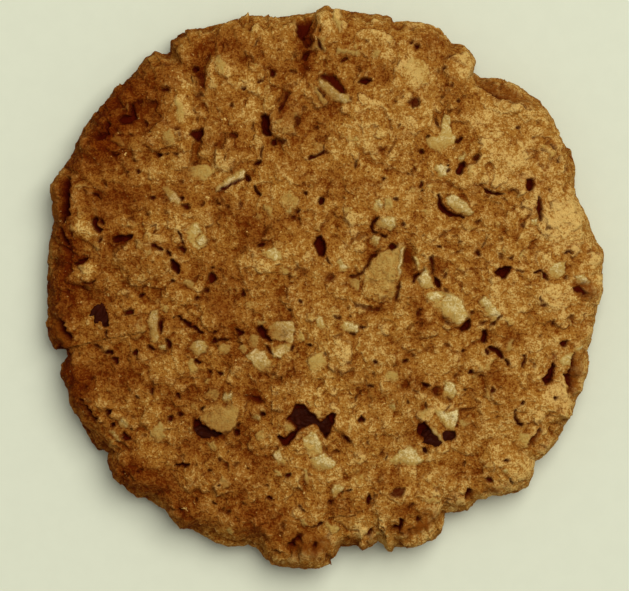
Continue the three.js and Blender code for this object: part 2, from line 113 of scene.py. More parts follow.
# Oats that show, by their corners. Their edge towards `up` stands out by `rise` and is the palest.
FLAKES = [Flake(*flake) for flake in (
    (0.95, 55, 0.4, ((10.9, 6.0), (10.8, 4.0), (10.4, 1.5), (9.9, -0.6), (9.5, -1.8), (7.6, -2.1),
        (6.2, -1.8), (5.2, -0.9), (5.4, 0.7), (5.8, 2.0), (6.4, 3.2), (7.1, 4.4), (8.3, 5.1), (9.6, 5.4))),
    (0.4, 20, 0.55, ((3.2, 1.2), (4.4, 1.4), (5.0, 0.8), (4.6, -0.6), (3.6, 0.2))),
    (0.7, 10, 1.03, ((11.0, 5.8), (10.9, 4.0), (10.5, 1.5), (10.1, 0.2), (9.9, 0.6), (10.2, 2.0),
        (10.5, 4.2), (10.7, 5.6))),
    (0.7, 45, 0.84, ((14.1, -1.4), (15.8, -0.4), (17.8, -0.7), (19.2, -2.1), (20.1, -4.1), (18.9, -5.2),
        (17.1, -4.5), (15.8, -3.1), (14.4, -2.1))),
    (0.3, 130, 0.93, ((14.2, -0.9), (15.8, -0.6), (16.8, -1.2), (15.8, -2.0), (14.8, -1.8))),
    (0.67, 40, 0.89, ((21.6, -2.2), (22.3, -1.3), (23.0, -1.7), (23.7, -2.6), (24.7, -3.8), (24.0, -4.6),
        (23.4, -4.9), (22.8, -3.9), (22.3, -2.9))),
    (0.55, 100, 0.89, ((14.2, 3.0), (13.4, 1.8), (13.0, 1.0), (13.7, 0.0), (15.3, -0.4), (15.3, 0.4),
        (14.6, 1.7))),
    (0.54, 120, 0.8, ((12.4, 4.4), (12.9, 4.2), (13.7, 2.4), (13.2, 2.2))),
    (0.72, 20, 0.93, ((1.7, -5.7), (2.4, -5.1), (3.4, -4.8), (4.7, -5.4), (4.6, -6.2), (3.8, -6.4),
        (2.5, -6.1))),
    (0.52, 90, 0.85, ((-0.9, -3.9), (-0.4, -4.2), (-0.1, -5.4), (-0.4, -6.0), (-0.9, -5.6), (-1.1, -4.8))),
    (0.65, 20, 0.8, ((-7.8, -5.6), (-6.8, -4.7), (-4.6, -4.7), (-4.2, -6.2), (-4.5, -7.9), (-6.0, -7.6),
        (-7.4, -7.2), (-8.1, -6.5))),
    (0.6, -80, 0.89, ((-7.4, -8.2), (-4.6, -7.9), (-5.0, -9.0), (-6.2, -9.9), (-7.4, -9.5))),
    (0.6, 110, 0.89, ((-11.0, -9.5), (-9.8, -8.7), (-8.4, -8.8), (-8.1, -10.0), (-7.0, -11.0),
        (-7.7, -12.1), (-9.1, -11.7), (-9.9, -10.7))),
    (0.4, 30, 0.55, ((-10.8, -7.6), (-10.1, -6.5), (-9.2, -6.9), (-9.4, -8.3), (-10.5, -8.3))),
    (0.57, 120, 0.6, ((-2.3, -10.2), (-1.7, -9.4), (-0.5, -9.3), (0.2, -10.2), (0.0, -11.3), (-1.0, -11.9),
        (-2.1, -11.3))),
    (0.49, 90, 0.55, ((8.5, -12.2), (9.2, -11.6), (10.2, -11.8), (10.5, -12.8), (9.8, -13.4), (8.8, -13.2),
       )),
    (0.67, 75, 0.93, ((17.0, -13.2), (18.3, -13.5), (18.4, -14.5), (18.0, -15.7), (17.2, -15.9),
        (16.4, -15.4), (16.8, -14.6), (16.8, -13.8))),
    (0.65, 60, 1.07, ((15.5, -17.3), (16.3, -17.0), (17.0, -17.7), (18.4, -17.0), (18.8, -17.7),
        (18.4, -19.0), (18.1, -20.1), (17.0, -19.7), (16.2, -18.7), (15.8, -18.0))),
    (0.54, 40, 0.84, ((14.8, -19.4), (15.6, -19.8), (16.2, -20.6), (16.7, -21.6), (16.1, -21.7),
        (15.4, -20.9))),
    (0.67, 80, 0.85, ((11.5, -22.2), (12.3, -22.4), (13.0, -23.0), (13.9, -24.1), (13.2, -24.8),
        (11.0, -25.0), (9.7, -24.7), (9.0, -24.3), (10.0, -23.4), (10.8, -22.8))),
    (0.6, 70, 0.8, ((-3.2, -21.0), (-1.6, -20.2), (-0.6, -21.4), (-0.3, -22.8), (-0.6, -23.8),
        (-2.0, -24.0), (-2.8, -22.6))),
    (0.7, 60, 0.9, ((-1.4, -23.8), (-0.3, -23.3), (0.8, -23.8), (1.7, -24.4), (1.2, -25.2), (-0.2, -25.8),
        (-1.6, -25.4), (-2.2, -24.4))),
    (0.35, 60, 0.5, ((-5.6, -19.4), (-4.9, -18.9), (-4.2, -19.4), (-4.6, -20.2), (-5.3, -20.4))),
    (0.59, 120, 0.85, ((-7.2, -23.4), (-6.4, -22.4), (-6.1, -23.7), (-5.4, -24.7), (-5.7, -25.2),
        (-6.6, -24.9))),
    (0.54, 120, 0.8, ((-6.9, -25.5), (-6.5, -25.6), (-5.9, -26.7), (-6.2, -26.9))),
    (0.49, 100, 0.6, ((-3.1, -25.3), (-2.6, -25.4), (-2.3, -27.0), (-2.2, -28.0), (-2.8, -27.4))),
    (0.68, 100, 0.84, ((0.9, -28.6), (1.3, -27.6), (2.2, -27.5), (2.7, -28.1), (2.1, -28.9), (1.4, -29.5))),
    (0.67, -60, 0.5, ((-17.4, -18.0), (-17.0, -16.8), (-15.8, -16.0), (-14.0, -15.9), (-12.6, -16.4),
        (-12.0, -17.6), (-12.3, -19.0), (-13.4, -20.0), (-15.0, -20.2), (-16.5, -19.5))),
    (0.83, 70, 0.93, ((-14.4, -15.6), (-14.0, -14.9), (-13.2, -14.7), (-12.7, -15.1), (-13.1, -15.9),
        (-13.8, -16.2))),
    (0.44, 60, 0.4, ((-17.0, -15.2), (-16.0, -14.2), (-14.8, -14.4), (-15.0, -15.8), (-16.2, -16.2))),
    (0.55, -52, 0.98, ((-15.3, 13.4), (-15.0, 14.3), (-13.2, 15.7), (-11.6, 16.7), (-11.0, 16.1),
        (-11.3, 15.4), (-13.0, 14.4), (-14.6, 13.4))),
    (0.35, 60, 0.55, ((-19.6, 16.0), (-18.6, 17.0), (-16.5, 17.2), (-15.2, 16.3), (-17.2, 14.9),
        (-18.6, 14.8))),
    (0.5, -45, 0.8, ((-22.9, 14.3), (-22.0, 14.3), (-20.2, 12.4), (-20.2, 11.6), (-21.4, 11.9))),
    (0.45, 0, 0.8, ((-19.5, 8.2), (-18.0, 9.2), (-17.2, 7.8), (-16.5, 6.8), (-16.9, 5.6), (-18.3, 5.6),
        (-19.2, 6.6))),
    (0.53, -30, 0.93, ((-18.1, 6.6), (-17.7, 7.6), (-16.9, 7.5), (-16.4, 6.8), (-16.5, 6.2), (-17.4, 6.0))),
    (0.54, 20, 0.8, ((-24.8, -4.8), (-24.2, -3.4), (-23.4, -3.0), (-23.2, -4.2), (-23.5, -5.8),
        (-23.2, -6.8), (-23.4, -7.6), (-24.3, -7.6), (-24.6, -6.2))),
    (0.49, 30, 0.8, ((-23.4, -8.3), (-22.9, -7.8), (-22.3, -8.1), (-22.4, -8.7), (-23.0, -8.8))),
    (0.55, 40, 0.8, ((-19.0, -8.6), (-18.3, -7.6), (-17.0, -7.4), (-16.3, -8.3), (-17.0, -9.1),
        (-18.3, -9.5))),
    (0.43, 90, 0.6, ((-19.0, -9.9), (-18.3, -10.0), (-17.8, -11.4), (-18.2, -12.6), (-18.9, -12.2),
        (-19.0, -11.0))),
    (0.49, 40, 0.85, ((-8.8, 4.9), (-7.8, 5.3), (-6.8, 5.4), (-6.1, 4.7), (-6.2, 4.0), (-7.5, 3.8),
        (-8.6, 4.2))),
    (0.44, 30, 0.5, ((-6.2, 2.9), (-5.4, 2.8), (-4.8, 2.2), (-5.2, 1.7), (-6.2, 2.0))),
    (0.69, 60, 0.8, ((7.1, 8.6), (7.8, 9.5), (8.8, 9.9), (9.8, 9.6), (10.0, 8.7), (9.3, 8.1), (8.1, 8.0))),
    (0.62, 45, 0.8, ((6.3, 6.6), (6.9, 7.3), (7.8, 7.0), (7.7, 6.1), (6.9, 5.7))),
    (0.49, 80, 0.85, ((6.9, 10.8), (7.0, 12.2), (7.8, 12.6), (8.1, 11.4), (7.8, 10.5))),
    (0.49, 80, 0.6, ((8.4, 10.9), (8.4, 12.6), (9.3, 12.5), (9.6, 11.2), (9.1, 10.5))),
    (0.55, 70, 0.85, ((1.6, 3.6), (2.2, 4.1), (3.1, 2.9), (3.0, 2.2), (2.4, 2.2))),
    (0.73, 60, 0.95, ((17.0, 12.4), (17.8, 13.0), (19.0, 12.4), (20.2, 11.4), (21.0, 10.4), (20.2, 9.9),
        (19.0, 10.3), (17.8, 11.0), (17.1, 11.7))),
    (0.55, 90, 0.74, ((16.9, 24.2), (16.4, 22.4), (15.9, 21.1), (14.5, 21.1), (14.2, 20.3), (15.5, 18.9),
        (16.1, 18.2), (16.7, 19.3), (18.1, 20.3), (18.3, 21.0), (17.7, 22.0), (17.5, 24.0))),
    (0.6, 30, 1.03, ((15.4, 16.9), (16.4, 17.3), (17.4, 16.9), (17.1, 15.5), (16.0, 15.6))),
    (0.62, 60, 0.89, ((18.8, 17.7), (19.1, 18.4), (19.6, 19.0), (19.6, 18.0), (19.2, 17.6))),
    (0.72, 50, 0.8, ((-0.9, 29.4), (0.4, 28.8), (1.8, 27.4), (3.2, 26.9), (3.9, 26.2), (2.6, 25.8),
        (1.2, 26.2), (0.2, 27.0), (-0.6, 28.3))),
    (0.55, 50, 0.6, ((-1.5, 28.2), (-0.9, 28.1), (-0.2, 26.9), (0.4, 25.9), (0.2, 25.3), (-0.9, 26.4))),
    (0.3, 45, 0.28, ((10.6, 29.6), (11.0, 31.0), (12.3, 31.9), (13.8, 31.6), (14.6, 30.2), (14.4, 28.6),
        (13.2, 27.6), (12.0, 28.0), (11.2, 28.6))),
    (0.48, 90, 0.6, ((1.6, 32.8), (1.8, 33.5), (3.4, 33.3), (5.0, 33.4), (5.1, 32.8), (3.4, 32.6))),
    (0.49, 0, 0.5, ((6.6, 32.4), (6.7, 33.5), (7.2, 33.9), (7.6, 33.2), (7.3, 32.3))),
    (0.58, 30, 0.6, ((0.8, 38.2), (1.4, 38.2), (2.4, 36.8), (2.1, 36.2), (1.4, 37.0))),
    (0.53, 45, 0.55, ((-22.9, 20.6), (-22.6, 21.8), (-21.6, 22.0), (-21.0, 21.0), (-21.3, 19.9),
        (-22.3, 19.7))),
    (0.53, 60, 0.55, ((-20.8, 26.0), (-20.0, 26.1), (-19.6, 24.2), (-19.9, 22.6), (-20.4, 22.7),
        (-20.9, 24.2))),
    (0.53, 30, 0.55, ((-15.4, 31.4), (-14.8, 32.4), (-14.0, 31.6), (-13.8, 30.2), (-14.4, 29.6),
        (-15.2, 30.2))),
    (0.59, 60, 0.6, ((-30.1, 20.6), (-29.6, 21.3), (-28.6, 21.0), (-28.3, 20.2), (-29.2, 20.0))),
    (0.64, 60, 0.85, ((-29.0, -18.9), (-28.6, -18.3), (-27.7, -18.3), (-27.4, -19.2), (-27.9, -19.9),
        (-28.6, -19.6))),
    (0.54, 60, 0.85, ((-30.2, -20.2), (-29.6, -20.1), (-28.3, -21.2), (-28.6, -21.5), (-29.5, -20.9))),
    (0.53, 80, 0.55, ((-23.0, -18.8), (-22.3, -19.6), (-22.3, -21.0), (-23.2, -21.8), (-24.3, -21.6),
        (-24.4, -20.5), (-23.7, -19.5))),
    (0.48, 60, 0.5, ((-16.2, -21.8), (-15.5, -21.5), (-15.1, -22.4), (-15.5, -23.3), (-16.1, -22.8))),
    (0.48, 90, 0.6, ((-14.0, -34.4), (-13.2, -33.9), (-12.7, -34.8), (-13.2, -35.3), (-13.8, -35.1))),
    (0.47, 60, 0.8, ((31.5, 1.2), (31.6, 2.8), (32.5, 3.6), (33.8, 3.6), (33.6, 2.2), (32.9, 1.0))),
    (0.54, 60, 0.93, ((35.4, 1.6), (36.2, 1.7), (37.6, 0.8), (37.3, 0.2), (36.4, 0.5), (35.5, 0.8))),
    (0.59, 60, 0.89, ((34.9, -9.2), (35.5, -8.4), (36.7, -8.1), (36.5, -8.7), (35.8, -9.3))),
    (0.48, 60, 0.8, ((33.0, -10.4), (34.0, -9.4), (35.2, -9.4), (34.8, -11.0), (33.8, -11.2))),
    (0.53, 60, 0.84, ((29.0, 8.6), (29.0, 9.6), (29.8, 9.8), (29.9, 8.9))),
    (0.48, 60, 0.65, ((25.6, -9.2), (25.9, -7.4), (26.5, -7.2), (26.2, -8.6))),
    (0.48, 60, 0.8, ((24.9, -25.8), (25.3, -25.4), (25.8, -25.8), (25.4, -26.3))),
    (0.48, 60, 0.5, ((27.6, -20.4), (29.0, -20.8), (29.3, -21.6), (28.6, -22.8), (28.0, -23.4),
        (27.5, -22.2))),
    (0.48, 60, 0.6, ((26.9, 3.6), (27.6, 4.9), (28.1, 5.3), (27.6, 4.0))),
    (0.54, 60, 0.8, ((8.9, -16.3), (9.6, -16.2), (10.1, -17.0), (9.8, -17.4))),
    (0.53, 60, 0.85, ((-10.2, -18.3), (-9.7, -17.7), (-9.0, -18.0), (-9.2, -18.6), (-9.8, -18.7))),
    (0.48, 60, 0.65, ((-19.9, 0.6), (-19.3, 1.1), (-18.5, 0.9), (-18.4, 0.2), (-19.1, -0.1))),
    (0.48, 60, 0.55, ((-0.4, -33.9), (0.2, -33.2), (2.0, -33.6), (2.2, -34.3), (1.0, -34.4))),
    (0.48, 60, 0.5, ((-3.4, -33.0), (-2.8, -32.5), (-2.4, -33.3), (-2.8, -34.1), (-3.3, -33.8))),
    (0.42, 90, 0.45, ((13.4, -29.8), (15.0, -29.6), (16.3, -29.8), (16.2, -30.3), (14.6, -30.3))),
    (0.48, 60, 0.5, ((-8.4, 11.6), (-7.8, 11.4), (-7.1, 9.8), (-7.4, 9.3), (-8.2, 10.2))),
    (0.42, 60, 0.4, ((-6.3, 12.2), (-5.6, 13.2), (-4.4, 13.2), (-3.6, 12.4), (-4.0, 11.2), (-5.2, 10.9),
        (-6.1, 11.4))),
    (0.4, 40, 0.6, ((-15.0, -8.4), (-14.2, -7.8), (-13.2, -8.2), (-13.6, -9.2), (-14.6, -9.4))),
    (0.4, 70, 0.55, ((-12.2, -8.6), (-11.4, -7.9), (-10.9, -8.6), (-11.3, -9.4))),
    (0.45, 60, 0.7, ((-9.9, -5.2), (-9.2, -4.4), (-8.3, -4.8), (-8.8, -5.5))),
    (0.4, 20, 0.6, ((-4.0, -6.8), (-3.2, -6.4), (-2.7, -7.2), (-3.5, -7.8))),
    (0.43, 60, 0.8, ((-5.3, 10.6), (-4.9, 11.3), (-4.5, 10.8), (-4.8, 10.3))),
)]

# Gaps between crags and round the oats, by their corners.
GAPS = [Gap(*gap) for gap in (
    (0.8, ((-1.2, 29.7), (-0.4, 30.1), (1.2, 30.0), (2.1, 29.3), (2.7, 28.2), (3.1, 27.0), (2.2, 27.2),
        (1.3, 28.1), (0.3, 29.0), (-0.7, 29.6))),
    (1.3, ((-9.5, -5.6), (-8.9, -5.4), (-8.1, -5.9), (-8.2, -6.6), (-7.4, -7.2), (-7.2, -7.5), (-8.0, -7.5),
        (-8.7, -7.2), (-9.4, -6.4))),
    (1.1, ((-8.4, -8.0), (-7.9, -8.2), (-7.2, -9.4), (-7.4, -9.6), (-8.0, -8.9))),
    (1.1, ((-12.7, -5.4), (-12.0, -5.8), (-11.0, -6.4), (-11.6, -6.7), (-12.4, -7.0), (-12.3, -6.2))),
    (1.2, ((-19.2, 21.3), (-18.2, 22.2), (-17.0, 22.3), (-17.1, 21.2), (-17.9, 20.5), (-18.5, 21.0))),
    (1.1, ((-28.9, 23.4), (-28.6, 24.1), (-27.6, 24.4), (-27.3, 25.6), (-26.9, 25.9), (-26.8, 24.6),
        (-26.6, 23.8), (-27.4, 23.0), (-28.2, 22.8))),
    (1.0, ((-32.6, 21.0), (-31.9, 21.5), (-31.0, 22.2), (-30.5, 23.4), (-29.9, 23.3), (-30.4, 21.9),
        (-31.0, 20.8), (-31.7, 20.5))),
    (1.5, ((-36.9, 16.0), (-36.2, 15.6), (-35.8, 14.4), (-35.5, 12.0), (-35.4, 10.2), (-36.4, 9.6),
        (-37.6, 9.3), (-37.4, 9.9), (-36.9, 10.6), (-37.0, 12.2), (-36.8, 14.0), (-37.2, 15.2))),
    (1.0, ((-38.0, 8.4), (-37.3, 8.7), (-36.5, 7.4), (-36.3, 6.2), (-36.9, 6.0), (-37.6, 7.0))),
    (1.6, ((-21.6, 3.9), (-21.0, 3.8), (-20.4, 3.0), (-20.3, 2.3), (-20.7, 1.9), (-21.1, 2.2), (-21.5, 3.1),
       )),
    (1.6, ((-8.9, 24.2), (-8.3, 24.4), (-7.7, 24.0), (-7.7, 22.4), (-7.4, 21.4), (-8.2, 21.2), (-8.8, 21.8),
        (-8.9, 23.0))),
    (1.1, ((-7.7, 19.8), (-7.3, 20.8), (-6.8, 21.1), (-6.8, 20.2), (-7.3, 19.7))),
    (1.7, ((-1.3, 7.0), (-0.6, 7.2), (0.0, 6.5), (0.1, 5.2), (-0.1, 4.3), (-0.7, 4.3), (-1.2, 5.0),
        (-1.4, 6.0))),
    (0.9, ((-4.1, 38.6), (-1.4, 38.8), (-2.0, 37.9), (-2.4, 36.8), (-3.0, 35.2), (-3.4, 34.8), (-3.8, 35.5),
        (-4.2, 36.6))),
    (1.0, ((-1.2, 35.1), (-0.6, 34.8), (-0.2, 33.7), (-0.6, 33.4), (-1.0, 34.2))),
    (1.2, ((4.6, 28.9), (5.4, 29.4), (6.6, 29.4), (6.8, 29.0), (5.8, 28.6))),
    (0.7, ((11.5, 25.9), (11.9, 26.5), (13.0, 26.7), (13.6, 26.0), (13.2, 25.3), (12.2, 25.0))),
    (1.3, ((18.4, 15.6), (18.2, 16.4), (18.9, 17.4), (19.6, 17.8), (19.9, 17.3), (19.6, 16.4), (19.0, 15.8),
       )),
    (1.2, ((28.2, 15.3), (29.1, 15.3), (29.6, 14.4), (29.0, 13.6), (28.2, 13.8))),
    (1.3, ((15.8, 13.0), (16.3, 13.0), (16.5, 11.6), (17.2, 10.8), (18.6, 10.3), (19.5, 9.9), (19.4, 9.6),
        (18.2, 9.9), (16.8, 10.2), (16.0, 10.9), (15.8, 12.0))),
    (1.7, ((23.9, 2.3), (24.5, 2.8), (25.4, 2.9), (26.2, 2.9), (26.0, 2.1), (25.4, 1.5), (24.7, 1.2),
        (24.2, 1.8))),
    (1.4, ((15.3, 1.6), (15.8, 1.3), (16.4, 0.3), (16.4, -0.1), (15.8, 0.0), (15.3, 0.8))),
    (0.9, ((14.5, 4.4), (15.2, 4.6), (15.3, 3.2), (15.5, 1.8), (15.1, 1.6), (14.8, 3.0))),
    (1.5, ((18.9, -5.8), (19.5, -4.9), (20.2, -4.6), (20.4, -5.4), (20.0, -6.1), (19.2, -6.3))),
    (1.4, ((22.1, -5.9), (22.8, -5.8), (22.8, -6.8), (22.5, -7.8), (21.9, -7.6), (22.1, -6.8))),
    (1.7, ((32.2, -10.5), (32.6, -11.2), (32.1, -12.4), (31.7, -13.4), (31.0, -13.7), (30.5, -12.9),
        (31.2, -12.0), (31.7, -11.2))),
    (0.9, ((34.8, 0.0), (35.8, 0.3), (36.6, -0.3), (37.4, -0.9), (37.2, -1.4), (36.2, -0.9), (35.2, -0.7))),
    (1.0, ((33.2, -7.8), (33.8, -7.4), (34.6, -7.5), (34.4, -8.2), (33.6, -8.4))),
    (0.9, ((27.8, -9.3), (28.3, -9.5), (28.3, -10.6), (27.9, -11.5), (27.5, -11.3), (27.8, -10.4))),
    (1.3, ((35.3, -9.2), (35.6, -9.4), (35.6, -10.8), (35.2, -12.2), (35.4, -13.4), (35.0, -15.2),
        (34.6, -15.2), (34.2, -13.2), (33.8, -12.4), (34.6, -12.2), (35.0, -11.2))),
    (0.8, ((21.6, 29.4), (23.0, 29.0), (24.6, 28.4), (25.8, 27.4), (26.4, 26.6), (24.6, 27.3), (23.4, 27.9),
        (22.2, 28.6))),
    (1.1, ((26.8, -17.2), (27.2, -17.4), (27.0, -18.3), (27.6, -19.2), (28.2, -19.3), (28.1, -20.0),
        (27.2, -19.6), (26.6, -18.4))),
    (1.1, ((20.0, -28.2), (20.7, -28.5), (20.8, -29.6), (20.2, -30.4), (19.9, -29.6))),
    (1.0, ((6.5, -34.0), (7.0, -34.5), (6.6, -35.4), (6.1, -35.8), (5.9, -35.3))),
    (1.1, ((-3.7, -34.9), (-3.3, -35.6), (-4.2, -36.4), (-4.3, -37.0), (-5.1, -37.1), (-5.1, -36.5),
        (-4.3, -35.8))),
    (1.1, ((10.7, -32.4), (11.3, -32.8), (10.9, -33.8), (10.5, -34.6), (9.7, -34.9), (9.6, -34.3),
        (10.3, -33.6))),
    (0.7, ((8.9, -28.9), (9.8, -28.2), (11.4, -28.0), (11.3, -28.8), (10.4, -29.5), (9.4, -29.4))),
    (0.8, ((22.2, -26.6), (23.2, -26.4), (23.7, -27.0), (23.2, -27.5), (22.6, -27.2))),
    (1.1, ((4.5, -18.7), (4.9, -17.9), (5.7, -18.3), (5.6, -18.9), (5.0, -19.1))),
    (1.1, ((-34.1, -16.6), (-33.4, -16.7), (-32.7, -17.8), (-32.3, -18.8), (-32.8, -19.1), (-33.4, -18.2))),
    (1.2, ((-38.0, -4.3), (-37.5, -4.4), (-37.0, -5.4), (-36.2, -7.0), (-36.2, -7.6), (-36.8, -7.2),
        (-37.6, -6.1), (-38.0, -5.2))),
    (1.3, ((-32.6, 9.6), (-31.9, 9.9), (-31.5, 9.2), (-31.8, 8.6), (-31.0, 8.0), (-31.5, 7.5), (-32.4, 8.3),
       )),
    (1.4, ((-29.8, 6.3), (-29.5, 7.1), (-28.6, 7.4), (-28.0, 7.1), (-27.0, 7.6), (-27.0, 7.0), (-28.0, 6.4),
        (-28.8, 6.2))),
    (0.9, ((-16.5, 1.0), (-16.2, 2.0), (-15.8, 2.4), (-15.2, 1.6), (-15.1, 0.9), (-15.8, 0.5))),
    (0.9, ((-20.5, 5.6), (-19.8, 6.0), (-19.3, 5.2), (-19.7, 4.6), (-20.1, 5.0))),
    (0.9, ((-28.3, -3.3), (-27.5, -2.9), (-26.6, -2.9), (-26.8, -3.6), (-27.5, -4.0), (-28.0, -4.2))),
    (1.3, ((-31.0, -9.2), (-30.5, -8.6), (-29.7, -8.9), (-29.9, -9.4), (-30.6, -9.5))),
    (1.0, ((-29.8, -9.8), (-28.8, -9.8), (-28.8, -10.4), (-29.3, -11.0))),
    (1.1, ((-22.4, -7.0), (-21.9, -7.2), (-21.4, -8.2), (-21.6, -8.7), (-22.2, -8.4), (-22.2, -7.8))),
    (1.0, ((8.9, 5.8), (9.4, 6.2), (10.1, 6.0), (10.0, 5.5), (9.3, 5.1))),
    (1.0, ((7.5, 7.6), (8.0, 7.6), (8.8, 7.4), (8.7, 7.0), (8.0, 7.0))),
    (1.2, ((12.2, 0.7), (12.6, 0.6), (13.3, 1.8), (13.2, 2.3), (12.6, 1.9))),
    (0.6, ((-10.9, -15.0), (-9.6, -15.2), (-8.4, -15.8), (-8.5, -16.3), (-9.7, -15.9))),
    (0.6, ((3.4, -1.6), (4.8, -2.2), (6.4, -2.7), (8.0, -2.8), (7.8, -3.3), (6.0, -3.3), (4.4, -2.8))),
)]

# Raisins sunk in the top. Their lower halves lie hidden in the dough.
RAISINS = [Raisin(*raisin) for raisin in (
    ("raisin_1", -2.4, -18.7, 7.95, 8.6, 5.4, 3.8, -8), ("raisin_2", 15.6, -21.0, 7.55, 7.2, 4.6, 3.6, 28),
    ("raisin_3", -31.2, -4.2, 7.1, 6.6, 4.2, 3.4, 70), ("raisin_4", -16.6, -20.6, 7.6, 6.4, 3.8, 3.2, -12),
)]

# Where the dough opens over them.
RAISIN_OPENINGS = [Gap(*gap) for gap in (
    (1.5, ((-4.1, -16.4), (-3.1, -16.3), (-2.4, -16.9), (-1.6, -17.7), (-1.2, -18.5), (-0.4, -18.7),
        (0.2, -18.4), (0.4, -17.8), (0.9, -17.6), (1.6, -17.9), (1.4, -18.9), (0.9, -19.7), (0.7, -20.7),
        (0.2, -21.4), (-0.3, -20.5), (-0.9, -19.6), (-1.6, -19.1), (-2.4, -19.5), (-3.3, -19.8),
        (-4.0, -20.7), (-4.8, -21.7), (-5.3, -22.3), (-5.9, -22.4), (-6.0, -21.6), (-6.6, -21.1),
        (-6.4, -20.6), (-5.6, -21.0), (-4.5, -20.3), (-4.0, -19.4), (-4.8, -18.9), (-5.4, -18.6),
        (-4.9, -17.6))),
    (1.5, ((13.2, -19.0), (14.0, -18.8), (14.6, -19.6), (15.1, -20.4), (15.8, -21.2), (16.4, -21.9),
        (15.8, -22.2), (14.5, -22.0), (13.8, -21.3), (13.1, -20.5), (12.9, -19.7))),
    (1.3, ((16.6, -20.6), (17.2, -20.1), (18.2, -20.1), (18.4, -20.9), (17.9, -21.6), (17.0, -21.5))),
    (1.1, ((13.7, -22.4), (14.3, -22.5), (14.5, -23.5), (13.9, -23.4))),
    (1.5, ((-32.2, -2.8), (-31.4, -2.8), (-30.5, -4.0), (-30.3, -5.3), (-31.1, -5.6), (-31.7, -4.3))),
    (1.4, ((-18.5, -19.1), (-18.2, -18.5), (-17.6, -18.5), (-17.0, -19.3), (-16.0, -20.0), (-14.4, -20.3),
        (-14.4, -20.7), (-16.0, -20.9), (-17.4, -21.0), (-18.2, -20.3))),
)]

